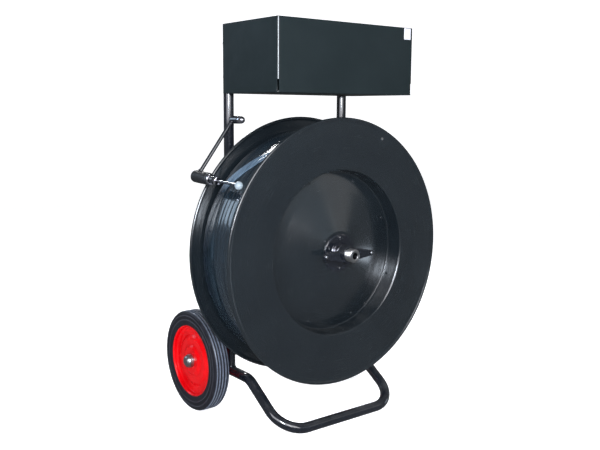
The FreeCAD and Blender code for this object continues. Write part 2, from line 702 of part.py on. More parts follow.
def make_toolbox():
    """Open sheet tray with rounded upright edges and a relief slot at the front corners."""
    body = new_body("toolbox", "0", "upright_y - tube_d / 2 - box_gap", "box_z")
    plan = new_sketch(body, "toolbox_plan", "XY_Plane")
    add_rectangle(plan, "-box_w / 2", "-box_d", "box_w / 2", "0")
    extrude(body, "Pad", "toolbox_block", plan, "box_h")
    doc.recompute()
    block = body.Tip
    corners = []
    for i, edge in enumerate(block.Shape.Edges):
        low, high = edge.BoundBox.ZMin, edge.BoundBox.ZMax
        if high - low > value("box_h") - 1:
            corners.append("Edge%d" % (i + 1))
    fillet = body.newObject("PartDesign::Fillet", "toolbox_corners")
    fillet.Base = (block, corners)
    fillet.Radius = 4
    doc.recompute()
    room = new_sketch(body, "toolbox_room", "XY_Plane")
    add_rectangle(room, "-box_w / 2 + box_wall", "-box_d + box_wall",
                  "box_w / 2 - box_wall", "-box_wall")
    lift(room, "box_wall")
    extrude(body, "Pocket", "toolbox_hollow", room, "box_h + 5", reverse=True)
    slots = new_sketch(body, "toolbox_slots", "XY_Plane")
    for sign in ("-", ""):
        low = "%s(box_w / 2) - 4" % sign
        high = "%s(box_w / 2) + 4" % sign
        add_rectangle(slots, low, "-box_d - 4", high, "-box_d + 4")
    lift(slots, "box_wall")
    extrude(body, "Pocket", "toolbox_relief", slots, "26", reverse=True)
    holes = new_sketch(body, "toolbox_holes", "XZ_Plane")
    for sign in ("-", ""):
        for height in ("40", "120"):
            add_circle(holes, "box_bolt_d + 0.4", sign + "upright_x", height)
    extrude(body, "Pocket", "toolbox_bolt_holes", holes, "40", midplane=True)
    bolts = []
    nuts = []
    front = Rotation(Vector(1, 0, 0), 90)
    back = Rotation(Vector(1, 0, 0), -90)
    for i, sign in enumerate(("-", "")):
        for j, height in enumerate(("box_z + 40", "box_z + 120")):
            mark = "%d%d" % (i, j)
            x = sign + "upright_x"
            seat = "upright_y - tube_d / 2 - box_gap - box_wall"
            bolts.append(hex_bolt("toolbox_bolt_" + mark, 10.0, 4.0, "box_bolt_d", 36.0,
                                  x, seat, height, front))
            nuts.append(hex_nut("toolbox_nut_" + mark, 10.0, 5.0, "box_bolt_d",
                                x, "upright_y + tube_d / 2", height, back))
    bolt_group("toolbox_bolts", bolts)
    bolt_group("toolbox_nuts", nuts)
    label = new_body("toolbox_label", "0", "upright_y - tube_d / 2 - box_gap - box_d", "box_z")
    paper = new_sketch(label, "label_outline", "XZ_Plane")
    add_rectangle(paper, "box_w / 2 - 30", "box_h - 28", "box_w / 2 - 8", "box_h - 1.5")
    extrude(label, "Pad", "label_sheet", paper, "0.3")


make_foot_tube()
make_upright("left_upright", "-upright_x")
make_upright("right_upright", "upright_x")
make_crossbar("upper_crossbar", "reel_z + cross_gap")
make_crossbar("lower_crossbar", "reel_z - cross_gap")
UP = Rotation()
BACK = Rotation(Vector(1, 0, 0), -90)
make_tube_plug("left_upright_plug", "-upright_x", "upright_y", "upright_top", UP)
make_tube_plug("right_upright_plug", "upright_x", "upright_y", "upright_top", UP)
make_tube_plug("left_leg_plug", "-upright_x", "upright_y + leg_back", "leg_z", BACK)
make_tube_plug("right_leg_plug", "upright_x", "upright_y + leg_back", "leg_z", BACK)
make_axle_plate("left_axle_plate", -1)
make_axle_plate("right_axle_plate", 1)
make_axle()
make_axle_fittings("left", -1)
make_axle_fittings("right", 1)
make_wheel("left", -1)
make_wheel("right", 1)
make_bearing_group()
make_reel()
make_front_flange()
make_wing_handle()
make_brake()
make_toolbox()

doc.recompute()
for item in doc.Objects:
    if "Invalid" in item.State or "Error" in item.State:
        raise RuntimeError("object not valid: %s %s" % (item.Name, item.State))
os.makedirs("parts", exist_ok=True)
for name, item in NODES:
    shape = item.Shape
    if shape.isNull() or not shape.isValid() or not shape.Solids:
        raise RuntimeError("bad shape: " + name)
    shape.exportStep("parts/%s.step" % name)
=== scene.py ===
import json
from math import ceil, cos, dist, pi, radians, sin, sqrt, tan, tau
import random

import bmesh
import bpy
from mathutils import Matrix, Vector


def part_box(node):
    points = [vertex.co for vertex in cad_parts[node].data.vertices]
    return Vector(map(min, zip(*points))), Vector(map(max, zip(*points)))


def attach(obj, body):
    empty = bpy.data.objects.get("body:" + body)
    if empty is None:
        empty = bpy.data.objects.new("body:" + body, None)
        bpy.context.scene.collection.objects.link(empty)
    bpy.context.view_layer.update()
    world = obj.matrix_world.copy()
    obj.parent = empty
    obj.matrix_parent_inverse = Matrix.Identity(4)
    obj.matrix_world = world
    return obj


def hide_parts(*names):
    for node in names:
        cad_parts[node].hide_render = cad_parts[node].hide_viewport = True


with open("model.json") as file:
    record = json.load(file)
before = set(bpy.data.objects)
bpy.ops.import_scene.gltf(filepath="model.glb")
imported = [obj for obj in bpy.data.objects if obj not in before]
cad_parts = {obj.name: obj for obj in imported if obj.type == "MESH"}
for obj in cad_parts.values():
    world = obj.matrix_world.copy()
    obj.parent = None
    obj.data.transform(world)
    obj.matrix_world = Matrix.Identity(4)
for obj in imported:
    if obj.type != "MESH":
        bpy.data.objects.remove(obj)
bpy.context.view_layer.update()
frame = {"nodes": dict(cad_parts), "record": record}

MM = 0.001


def middle(node):
    low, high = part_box(node)
    return (low + high) / 2


def half(node, axis):
    """Half a node's size along an axis, in mm."""
    low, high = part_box(node)
    return (high["XYZ".index(axis)] - low["XYZ".index(axis)]) / 2 / MM


# ------------------------------------------------------------ places taken from the frame
REEL = middle("front_flange")
REEL.y = (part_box("front_flange")[0].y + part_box("rear_flange")[1].y) / 2
REEL_R = half("front_flange", "X")
COIL_R = half("strap_coil", "X")
COIL_HALF = half("strap_coil", "Y")
UPRIGHT = middle("right_upright")
PIVOT = middle("pivot_pin")
BOX_LOW, BOX_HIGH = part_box("toolbox")
WHEEL = middle("right_tyre")


def along(node, origin=REEL.y):
    """Front and back of a node in mm, from the reel's middle unless told otherwise."""
    low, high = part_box(node)
    return (low.y - origin) / MM, (high.y - origin) / MM


def on_reel(t, radius, height):
    """Spot at an angle, radius and height about the reel's middle, the last two in mm."""
    return (REEL.x + radius * MM * cos(t), REEL.y + height * MM, REEL.z + radius * MM * sin(t))


def circle(steps):
    """Cosine and sine of evenly spaced angles."""
    return [(cos(tau * k / steps), sin(tau * k / steps)) for k in range(steps)]


def placed(name, data):
    """New object in the scene."""
    thing = bpy.data.objects.new(name, data)
    bpy.context.scene.collection.objects.link(thing)
    return thing


def from_middle(node):
    """Nearest and farthest sideways distance of a node from the middle plane, in mm."""
    return sorted(abs(corner.x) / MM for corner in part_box(node))


# ------------------------------------------------------------ node materials
class Finish:
    """One procedural material: each method adds nodes and returns what comes out of them."""

    def __init__(self, name):
        self.name = name
        self.material = bpy.data.materials.new(name)
        self.material.use_nodes = True
        self.tree = self.material.node_tree
        self.tree.nodes.clear()
        self.shader = self.tree.nodes.new("ShaderNodeBsdfPrincipled")
        self.add("OutputMaterial", None, {"Surface": self.shader.outputs["BSDF"]})
        self.place = self.add("TexCoord", "Object", {})

    def feed(self, target, source):
        if isinstance(source, (int, float, tuple)):
            target.default_value = source
        else:
            self.tree.links.new(source, target)

    def add(self, kind, result, inputs, **settings):
        """Add a node, feed its inputs and return one output, or all of them for None."""
        node = self.tree.nodes.new("ShaderNode" + kind)
        for key, value in settings.items():
            setattr(node, key, value)
        for key, value in inputs.items():
            self.feed(node.inputs[key], value)
        return node.outputs if result is None else node.outputs[result]

    def math(self, operation, a, b=0.0):
        return self.add("Math", 0, {0: a, 1: b}, operation=operation)

    def times(self, a, b):
        return self.math("MULTIPLY", a, b)

    def plus(self, a, b):
        return self.math("ADD", a, b)

    def minus(self, a, b):
        return self.math("SUBTRACT", a, b)

    def noise(self, scale, detail=4.0, rough=0.55, where=None, distortion=0.0):
        return self.add("TexNoise", "Fac", {
            "Scale": scale, "Detail": detail, "Roughness": rough, "Distortion": distortion,
            "Vector": where or self.place})

    def weave(self, detail, rough, x, y, z):
        """Noise on coordinates of its own, such as an angle and a radius."""
        return self.noise(1.0, detail, rough, self.add("CombineXYZ", 0, {0: x, 1: y, 2: z}))

    def ramp(self, source, low, high, to_low=0.0, to_high=1.0):
        return self.add("MapRange", "Result", {
            "Value": source, "From Min": low, "From Max": high, "To Min": to_low,
            "To Max": to_high}, clamp=True, interpolation_type="SMOOTHSTEP")

    def mix(self, factor, a, b):
        a, b = ((*tone, 1.0) if isinstance(tone, tuple) else tone for tone in (a, b))
        return self.add("Mix", 2, {0: factor, 6: a, 7: b}, data_type="RGBA", clamp_factor=True)

    def axes(self, where=None):
        return self.add("SeparateXYZ", None, {0: where or self.place})

    def polar(self, centre, axis="Y"):
        """Radius, angle and height about an axis, in metres and radians."""
        x, y, z = self.axes()
        across, start, height = (x, centre.x, y) if axis == "Y" else (y, centre.y, x)
        u = self.minus(across, start)
        v = self.minus(z, centre.z)
        radius = self.math("SQRT", self.plus(self.times(u, u), self.times(v, v)))
        return radius, self.math("ARCTAN2", v, u), height

    def pointy(self):
        return self.add("NewGeometry", "Pointiness", {})

    def edge_wear(self, low=0.56, high=0.64):
        """Bright on convex edges, broken up by noise."""
        return self.times(self.ramp(self.pointy(), low, high),
                          self.ramp(self.noise(260, 5, 0.7), 0.42, 0.62))

    def dust(self, amount, scale=30):
        """Fine dust on faces that look up."""
        up = self.ramp(self.axes(self.add("NewGeometry", "Normal", {}))[2], 0.2, 1.0)
        specks = self.ramp(self.noise(scale, 6, 0.7), 0.35, 0.75)
        return self.times(self.times(up, specks), amount)

    def bump(self, height, distance, strength=1.0):
        return self.add("Bump", "Normal", {
            "Strength": strength, "Distance": distance, "Height": height})

    def set(self, **values):
        """Feed the shader and keep the material under its slot name."""
        names = {"color": "Base Color", "rough": "Roughness", "metal": "Metallic",
                 "normal": "Normal", "coat": "Coat Weight", "coat_rough": "Coat Roughness",
                 "level": "Specular IOR Level"}
        for key, value in values.items():
            self.feed(self.shader.inputs[names[key]], value)
        FINISHES[self.name] = self.material


FINISHES = {}


def enamel(name, deep, lift, rough, peel, wear=0.5, dust=0.25, turned=None, level=0.5,
           coat=0.6, coat_rough=0.05, relief=0.12):
    """Black paint: tone drift, smudged gloss, orange peel, worn edges and light dust."""
    f = Finish(name)
    drift = f.noise(6, 5, 0.6)
    smudge = f.noise(22, 6, 0.65, distortion=0.6)
    color = f.mix(f.ramp(drift, 0.3, 0.7), deep, lift)
    scuffs = f.times(f.edge_wear(), wear)
    color = f.mix(scuffs, color, (0.16, 0.16, 0.165))
    color = f.mix(f.dust(dust), color, (0.3, 0.3, 0.29))
    gloss = f.ramp(smudge, 0.3, 0.75, rough[0], rough[1])
    height = f.times(f.noise(peel, 2, 0.5), 0.6)
    if turned:
        radius, angle, _ = f.polar(turned)
        rings = f.weave(3, 0.6, f.times(radius, 420), f.times(angle, 1.2), 0.0)
        height = f.plus(height, f.times(rings, 0.7))
        hair = f.weave(2, 0.5, f.times(radius, 1500), f.times(angle, 3.0), 4.0)
        gloss = f.plus(gloss, f.ramp(hair, 0.55, 0.8, 0.0, 0.1))
    gloss = f.plus(gloss, f.times(scuffs, 0.25))
    if name == "toolbox_enamel":
        x, y, _ = f.axes()
        side = f.ramp(f.math("ABSOLUTE", x), BOX_HIGH.x - 0.005, BOX_HIGH.x - 0.003)
        front = f.ramp(f.minus(BOX_LOW.y + 0.005, y), 0.0, 0.002)
        coat = f.times(side, front)
    f.set(color=color, rough=gloss, level=level, normal=f.bump(height, 0.00012, relief), coat=coat,
          coat_rough=coat_rough)


def plated(name, tone, tint, rough, brush, spots=0.2):
    """Plated or turned metal: brushed grain, dull patches and fine pits."""
    f = Finish(name)
    patches = f.noise(35, 6, 0.7, distortion=1.0)
    grain = f.noise(1.0, 3, 0.6, f.add("Mapping", 0, {"Scale": brush, "Vector": f.place}))
    color = f.mix(f.ramp(patches, 0.35, 0.7), tone, tint)
    color = f.mix(f.times(f.ramp(f.noise(420, 4), 0.62, 0.72), spots), color, (0.12, 0.11, 0.1))
    gloss = f.plus(f.ramp(patches, 0.3, 0.75, rough[0], rough[1]),
                   f.ramp(grain, 0.4, 0.8, 0.0, 0.08))
    if name == "zinc_steel":
        radius = f.polar(REEL)[0]
        # painted shade: the colour is darkened inside the spindle bore and on the end face round
        # it, standing in for the shade in the hole
        bore_shade = f.ramp(f.plus(radius, f.times(patches, 0.0006)), 0.0078, 0.009, 1.0, 0.0)
        color = f.mix(bore_shade, color, (0.045, 0.045, 0.05))
    f.set(color=color, rough=gloss, metal=1.0, normal=f.bump(grain, 0.00008, 0.3))


enamel("black_enamel", (0.0038, 0.0048, 0.0072), (0.0062, 0.0072, 0.0105), (0.05, 0.1), 900,
       wear=0.3, dust=0.08)
enamel("toolbox_enamel", (0.0062, 0.0098, 0.0108), (0.008, 0.012, 0.0132), (0.46, 0.56), 1500,
       wear=0.25, dust=0.06, level=0.1, coat=0.0)
enamel("flange_enamel", (0.0042, 0.0062, 0.008), (0.0058, 0.0082, 0.0102), (0.17, 0.24), 1100,
       wear=0.3, dust=0.04, turned=REEL, coat=0.5, coat_rough=0.17, relief=0.25)
plated("zinc_steel", (0.34, 0.345, 0.36), (0.44, 0.43, 0.42), (0.26, 0.42), (900, 60, 900))
plated("bright_chrome", (0.5, 0.5, 0.56), (0.58, 0.57, 0.62), (0.1, 0.18), (700, 700, 700),
       spots=0.08)
plated("bronze", (0.55, 0.36, 0.16), (0.45, 0.27, 0.11), (0.25, 0.4), (600, 80, 600), spots=0.4)


def rubber(name, dark, light, rough, grain, tread=None):
    """Rubber: mottled bloom, scuffed edges, moulded grain and a tread with ridge tops made paler by
    wear and a painted bluish sheen.
    """
    f = Finish(name)
    bloom = f.noise(45, 6, 0.7, distortion=0.8)
    color = f.mix(f.ramp(bloom, 0.35, 0.75), dark, light)
    if tread:
        radius = f.polar(WHEEL, "X")[0]
        # ridge tops of the tread paler: partly wear, partly a painted sheen standing in for light
        # glancing off the tread
        tread_wear_and_sheen = f.ramp(radius, tread - 0.0022, tread - 0.0004)
        patchy = f.ramp(f.noise(120, 5, 0.7), 0.25, 0.65, 0.55, 1.0)
        color = f.mix(f.times(tread_wear_and_sheen, patchy), color, (0.08, 0.095, 0.125))
        # lighter lines on the moulded sidewall steps: partly scuffing, partly a painted highlight
        # along the ridges
        for line in (0.012, 0.0232):
            ring = f.math("ABSOLUTE", f.minus(radius, tread - line))
            ring = f.ramp(ring, 0.0004, 0.0013, 0.55, 0.0)
            color = f.mix(f.times(ring, patchy), color, (0.06, 0.062, 0.078))
    color = f.mix(f.times(f.edge_wear(0.53, 0.6), 0.4), color, (0.12, 0.12, 0.13))
    color = f.mix(f.dust(0.12, 60), color, (0.2, 0.2, 0.2))
    height = f.plus(f.noise(grain, 5, 0.7), f.times(bloom, 0.5))
    f.set(color=color, rough=f.ramp(bloom, 0.3, 0.8, rough[0], rough[1]),
          level=0.3, normal=f.bump(height, 0.0003, 0.5))


rubber("tyre_rubber", (0.005, 0.0052, 0.008), (0.01, 0.01, 0.0145), (0.36, 0.52), 900,
       tread=half("right_tyre", "Z") * MM)
rubber("brake_rubber", (0.004, 0.005, 0.006), (0.013, 0.014, 0.017), (0.4, 0.6), 500)


def plastic(name, tone, tint, rough, grain, depth=0.0001):
    """Moulded plastic: slight tone drift, fine grain and light dust."""
    f = Finish(name)
    drift = f.noise(30, 5, 0.6)
    color = f.mix(f.ramp(drift, 0.3, 0.7), tone, tint)
    color = f.mix(f.dust(0.2, 80), color, (0.35, 0.34, 0.32))
    f.set(color=color, rough=f.ramp(drift, 0.3, 0.7, rough[0], rough[1]),
          normal=f.bump(f.noise(grain, 3, 0.6), depth, 0.4))


plastic("black_plastic", (0.016, 0.016, 0.017), (0.026, 0.026, 0.027), (0.45, 0.6), 1400)
plastic("ball_white", (0.17, 0.205, 0.23), (0.22, 0.26, 0.28), (0.26, 0.38), 500)


def label_paper():
    """Plain printed film: soft grey frame and blank bars, no lettering."""
    f = Finish("label_white")
    low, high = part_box("toolbox_label")
    x, _, z = f.axes()
    u = f.ramp(x, low.x, high.x)
    v = f.ramp(z, low.z, high.z)
    bars = f.math("FRACT", f.times(v, 7.0))
    inside = f.times(f.math("LESS_THAN", f.math("ABSOLUTE", f.math(
        "SUBTRACT", u, 0.5)), 0.3), f.math("LESS_THAN", f.math("ABSOLUTE", f.math(
            "SUBTRACT", v, 0.5)), 0.34))
    ink = f.times(inside, f.ramp(bars, 0.55, 0.7, 0.0, 0.45))
    paper = f.mix(f.noise(90, 4), (0.42, 0.42, 0.46), (0.48, 0.48, 0.52))
    color = f.mix(ink, paper, (0.16, 0.16, 0.42))
    f.set(color=color, rough=f.ramp(f.noise(60, 3), 0.3, 0.7, 0.3, 0.45),
          normal=f.bump(f.noise(700, 3), 0.00005, 0.3))


def rim_paint():
    """Gloss red enamel with painted shade in the creases, small chips and brake dust."""
    f = Finish("rim_red")
    drift = f.noise(18, 5, 0.6)
    color = f.mix(f.ramp(drift, 0.3, 0.7), (0.38, 0.0004, 0.002), (0.47, 0.0008, 0.003))
    # painted shade: concave creases are darkened in the colour where shade would fall
    crease_shade = f.ramp(f.pointy(), 0.42, 0.49, 0.75, 0.0)
    color = f.mix(crease_shade, color, (0.09, 0.001, 0.003))
    grime = f.ramp(f.noise(70, 7, 0.75), 0.6, 0.74, 0.0, 0.25)
    color = f.mix(grime, color, (0.16, 0.004, 0.006))
    chips = f.ramp(f.noise(480, 3, 0.6), 0.75, 0.78, 0.0, 0.7)
    color = f.mix(chips, color, (0.25, 0.2, 0.19))
    f.set(color=color, rough=f.ramp(drift, 0.3, 0.7, 0.16, 0.3),
          coat=0.22, coat_rough=0.06, level=0.1, normal=f.bump(f.noise(600, 3), 0.0001, 0.3))


def strap_finish():
    """Glossy blue-black strap: streaks along the winding and embossed fine ribs."""
    f = Finish("strap_black")
    radius, angle, depth = f.polar(REEL)
    streak = f.weave(5, 0.65, f.times(angle, 1.6), f.times(depth, 240), f.times(radius, 900))
    broad = f.weave(3, 0.5, f.times(angle, 2.5), f.times(depth, 45), f.times(radius, 60))
    color = f.mix(f.ramp(streak, 0.35, 0.7), (0.003, 0.006, 0.009), (0.01, 0.018, 0.026))
    color = f.mix(f.ramp(broad, 0.55, 0.8, 0.0, 0.6), color, (0.022, 0.038, 0.052))
    scratch = f.weave(2, 0.5, f.times(angle, 5), f.times(depth, 2600), 0.0)
    gloss = f.plus(f.ramp(streak, 0.3, 0.75, 0.12, 0.24), f.ramp(scratch, 0.55, 0.8, 0.0, 0.14))
    ribs = f.math("SINE", f.times(depth, 4200))
    height = f.plus(f.times(ribs, 0.04), streak)
    height = f.plus(height, f.times(scratch, 0.12))
    f.set(color=color, rough=gloss, coat=0.5, coat_rough=0.08, normal=f.bump(height, 0.0006, 0.3))


def core_board():
    """Board core of the coil: wound rings and fibres."""
    f = Finish("core_board")
    radius, angle, depth = f.polar(REEL)
    wobble = f.times(f.noise(8, 4), 2.0)
    rings = f.math("SINE", f.plus(f.times(radius, 6200), wobble))
    fibre = f.weave(4, 0.7, f.times(angle, 60), f.times(radius, 900), depth)
    color = f.mix(f.ramp(fibre, 0.3, 0.7), (0.28, 0.18, 0.1), (0.42, 0.29, 0.17))
    color = f.mix(f.ramp(rings, -1.0, 1.0, 0.0, 0.35), color, (0.16, 0.1, 0.06))
    f.set(color=color, rough=f.ramp(fibre, 0.3, 0.7, 0.7, 0.9), normal=f.bump(rings, 0.0002, 0.5))


def strap_back():
    """Ribbed strap crossing the coil, with a pale bluish painted reflection only within a span of
    angles.
    """
    f = Finish("strap_back")
    radius, angle, depth = f.polar(REEL)
    across = f.plus(f.times(angle, 0.235), depth)
    lines = f.math("SINE", f.times(across, 2600))
    streak = f.weave(4, 0.6, f.times(angle, 9), f.times(depth, 500), radius)
    # painted reflection: a pale bluish band put in the colour only between these angles
    reflection_band = f.times(f.ramp(angle, 2.07, 2.2), f.ramp(f.times(angle, -1.0), -2.62, -2.5))
    reflection_tone = f.mix(f.ramp(streak, 0.3, 0.7), (0.04, 0.07, 0.105), (0.13, 0.19, 0.255))
    reflection_tone = f.mix(f.ramp(lines, 0.2, 0.9, 0.0, 0.5), reflection_tone, (0.02, 0.034, 0.048))
    color = f.mix(reflection_band, (0.006, 0.01, 0.015), reflection_tone)
    f.set(color=color, rough=f.ramp(streak, 0.3, 0.7, 0.16, 0.3), coat=0.4, coat_rough=0.1,
          normal=f.bump(lines, 0.0003, 0.25))


label_paper()
rim_paint()
strap_back()
strap_finish()
core_board()


# ------------------------------------------------------------ mesh helpers
def oriented(name, verts, faces):
    """Mesh with every face turned outward."""
    mesh = bpy.data.meshes.new(name)
    mesh.from_pydata([tuple(v) for v in verts], [], faces)
    mesh.update()
    work = bmesh.new()
    work.from_mesh(mesh)
    bmesh.ops.recalc_face_normals(work, faces=work.faces)
    work.to_mesh(mesh)
    work.free()
    return mesh


def modified(maker, *modifiers):
    """Mesh of a curve or mesh after its modifiers, each given as (kind, settings)."""
    holder = placed("maker", maker)
    for kind, settings in modifiers:
        modifier = holder.modifiers.new(kind, kind)
        for key, value in settings.items():
            setattr(modifier, key, value)
    bpy.context.view_layer.update()
    evaluated = holder.evaluated_get(bpy.context.evaluated_depsgraph_get())
    mesh = bpy.data.meshes.new_from_object(evaluated)
    bpy.data.objects.remove(holder)
    return mesh


def adopt(mesh, name, body, slot, nodes=(), angle=32.0):
    """Mesh object with smooth shading and sharp creases, riding on a body."""
    mesh.shade_smooth()
    mesh.set_sharp_from_angle(angle=radians(angle))
    piece = placed(name, mesh)
    mesh.materials.clear()
    mesh.materials.append(FINISHES[slot])
    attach(piece, body)
    if nodes:
        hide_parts(*nodes)
    return piece


def finish_piece(name, shape, body, slot, nodes=(), angle=32.0):
    return adopt(oriented(name, *shape), name, body, slot, nodes, angle)


def rounded(points, default=0.6, steps=3):
    """Closed outline with every corner rounded; points are (a, b) or (a, b, radius)."""
    result = []
    count = len(points)
    for i in range(count):
        here = Vector(points[i][:2])
        before = Vector(points[i - 1][:2])
        after = Vector(points[(i + 1) % count][:2])
        radius = points[i][2] if len(points[i]) > 2 else default
        back = before - here
        ahead = after - here
        turn = back.angle(ahead) if min(back.length, ahead.length) > 1e-6 else pi
        if radius <= 0 or turn > radians(176):
            result.append(tuple(here))
            continue
        reach = min(radius / tan(turn / 2), 0.48 * back.length, 0.48 * ahead.length)
        start = here + back.normalized() * reach
        end = here + ahead.normalized() * reach
        for k in range(steps + 1):
            t = k / steps
            spot = start * (1 - t) ** 2 + here * (2 * t * (1 - t)) + end * t ** 2
            result.append(tuple(spot))
    return result


def divided(outline, reach=7.0):
    """The same closed outline with long straight runs cut into short ones."""
    result = []
    for here, ahead in zip(outline, outline[1:] + outline[:1]):
        count = max(1, ceil(dist(here, ahead) / reach))
        result += [(here[0] + (ahead[0] - here[0]) * k / count,
                    here[1] + (ahead[1] - here[1]) * k / count) for k in range(count)]
    return result


def even_rings(count, size):
    """Vertex numbers of equal rings that follow each other."""
    return [list(range(i * size, (i + 1) * size)) for i in range(count)]


def wrapped(rings, closed=True):
    """Faces between neighbouring rings of vertex numbers; a ring of one is a tip."""
    faces = []
    for one, two in zip(rings, rings[1:] + rings[:1] if closed else rings[1:]):
        steps = max(len(one), len(two))
        for k in range(steps if steps > 1 else 0):
            n = (k + 1) % steps
            if len(one) == 1:
                faces.append((one[0], two[n], two[k]))
            elif len(two) == 1:
                faces.append((one[k], one[n], two[0]))
            else:
                faces.append((one[k], one[n], two[n], two[k]))
    return faces


def lathe(outline, steps, place=lambda a, u, v: (u, v, a)):
    """Closed outline (along, radius) turned once, about the z axis unless place says other."""
    verts, rings = [], []
    for a, r in outline:
        count = 1 if r < 1e-6 else steps
        rings.append(list(range(len(verts), len(verts) + count)))
        verts += [place(a, r * x, r * y) for x, y in circle(steps)[:count]]
    return verts, wrapped(rings)


def turned_mesh(outline, centre, axis="Y", steps=192, side=1.0):
    """Outline in mm turned about an axis through a centre in metres."""

    def place(a, u, v):
        spot = {"X": (side * a, u, v), "Y": (u, a, v), "Z": (u, v, a)}[axis]
        return tuple(start + step * MM for start, step in zip(centre, spot))

    return lathe(divided(outline), steps, place)


def turned_piece(name, outline, centre, axis, body, slot, nodes=(), steps=192,
                 side=1.0, angle=32.0):
    return finish_piece(name, turned_mesh(outline, centre, axis, steps, side), body, slot,
                        nodes, angle)


def joined(parts):
    """One vertex and face list from several."""
    verts, faces = [], []
    for v, f in parts:
        base = len(verts)
        verts += [tuple(p) for p in v]
        faces += [tuple(i + base for i in face) for face in f]
    return verts, faces


def tube_mesh(points, radius, sides=12, closed=False, ripple=None):
    """Round bar along points; ripple(i) scales the radius at each point."""
    verts, count = [], len(points)
    points = [Vector(p) for p in points]
    up = Vector((0.13, 0.27, 0.95)).normalized()
    for i, point in enumerate(points):
        ahead = points[(i + 1) % count if closed else min(i + 1, count - 1)]
        back = points[i - 1 if closed else max(i - 1, 0)]
        heading = (ahead - back).normalized()
        side = heading.cross(up)
        if side.length < 1e-3:
            side = heading.cross(Vector((1, 0, 0)))
        side.normalize()
        up = side.cross(heading).normalized()
        size = radius * (ripple(i) if ripple else 1.0)
        verts += [point + (side * x + up * y) * size for x, y in circle(sides)]
    rings = even_rings(count, sides)
    faces = wrapped(rings, closed)
    if not closed:
        faces += [tuple(reversed(rings[0])), tuple(rings[-1])]
    return verts, faces


def weld_mesh(points, radius=0.0022, closed=False, seed=1):
    """Weld bead: a thin bar with overlapping ripples and small irregularities."""
    dice = random.Random(seed)
    dense = []
    pts = [Vector(p) for p in points]
    if closed:
        pts.append(pts[0])
    for a, b in zip(pts, pts[1:]):
        steps = max(1, int((b - a).length / 0.0008))
        dense += [a.lerp(b, k / steps) for k in range(steps)]
    if not closed:
        dense.append(pts[-1])
    sizes = [1.0 + 0.16 * abs(sin(i * 0.8)) + dice.uniform(-0.05, 0.05) for i in range(len(dense))]
    if not closed:
        for i in range(min(4, len(sizes))):
            sizes[i] *= 0.45 + 0.14 * i
            sizes[-1 - i] *= 0.45 + 0.14 * i
    return tube_mesh(dense, radius, 8, closed, lambda i: sizes[i])


def hex_mesh(across, height, bore=0.0, steps=48, dome=0.0):
    """Chamfered hexagon head or nut on z = 0, in mm."""
    flat_r = across / 2 * 0.93
    levels = [(None, 0.0), (None, None), (flat_r, height)]
    if bore:
        levels += [(bore / 2 + 0.5, height), (bore / 2, height - 0.5), (bore / 2, 0.0)]
    else:
        levels.append((flat_r * 0.8, height + dome))
    verts = []
    for r, z in levels:
        for k in range(steps):
            t = tau * k / steps
            hexed = across / 2 / cos((t + pi / 6) % (pi / 3) - pi / 6)
            radius = hexed if r is None else r
            chamfer = height - (hexed - flat_r) * tan(radians(30))
            verts.append((radius * cos(t), radius * sin(t), chamfer if z is None else z))
    rings = even_rings(len(levels), steps)
    faces = wrapped(rings, bore > 0)
    if not bore:
        faces += [tuple(rings[-1]), tuple(reversed(rings[0]))]
    return verts, faces


def rod_mesh(radius, start, end, steps=24, chamfer=0.6):
    """Round bar on the z axis with a chamfered far end, in mm."""
    return lathe([(start, 0.0), (start, radius), (end - chamfer, radius),
                  (end, radius - chamfer), (end, 0.0)], steps)


def disc_mesh(outer, inner, height, steps=48):
    """Washer on the z axis, in mm."""
    return lathe(rounded([(0.0, inner), (0.0, outer), (height, outer), (height, inner)],
                         0.25, 2), steps)


def moved(shape, spot, direction, spin=0.0):
    """Take a z-axis shape in mm to a spot in metres, its z axis along a direction."""
    verts, faces = shape
    matrix = (Matrix.Translation(spot) @ Vector(direction).to_track_quat("Z", "Y").to_matrix()
              .to_4x4() @ Matrix.Rotation(spin, 4, "Z") @ Matrix.Scale(MM, 4))
    return [matrix @ Vector(v) for v in verts], faces


def lump(name, parts, body, slot, nodes=(), angle=32.0):
    return finish_piece(name, joined(parts), body, slot, nodes, angle)


def plate_mesh(loops, low, high, bevel, plane="XZ"):
    """Flat plate from closed loops in mm (first outside, others holes), with soft edges."""
    curve = bpy.data.curves.new("plate", "CURVE")
    curve.dimensions = "2D"
    curve.fill_mode = "BOTH"
    curve.extrude = (high - low) / 2 - bevel
    curve.bevel_depth = bevel
    curve.bevel_resolution = 2
    curve.offset = -bevel
    for loop in loops:
        spline = curve.splines.new("POLY")
        spline.points.add(len(loop) - 1)
        for point, spot in zip(spline.points, loop):
            point.co = (*spot, 0.0, 1.0)
        spline.use_cyclic_u = True
    work = bmesh.new()
    work.from_mesh(modified(curve))
    bmesh.ops.remove_doubles(work, verts=work.verts, dist=0.004)
    verts = []
    for x, y, z in (vert.co for vert in work.verts):
        z += (low + high) / 2
        verts.append(Vector((x, z, y) if plane == "XZ" else (z, x, y)) * MM)
    work.verts.index_update()
    faces = [tuple(v.index for v in face.verts) for face in work.faces]
    work.free()
    return verts, faces


def shifted(shape, offset):
    verts, faces = shape
    return [Vector(v) + Vector(offset) for v in verts], faces


def circle_loop(radius, steps=64):
    return [(radius * x, radius * y) for x, y in circle(steps)]


# ------------------------------------------------------------ reel
# outer face, hub flat, foot of the cone and dish floor: mm from the reel's middle
FACE, HUB, CREASE, DISH = 82.5, 74.5, 48.5, 41.5
CORE = (203.0, 209.0)  # inner and outer radius of the board core
BOLT_CIRCLE = 37.0  # radius of the hub bolts' circle
SPINDLE_R, BORE_R, THREAD_PITCH = 16.5, 7.5, 2.0


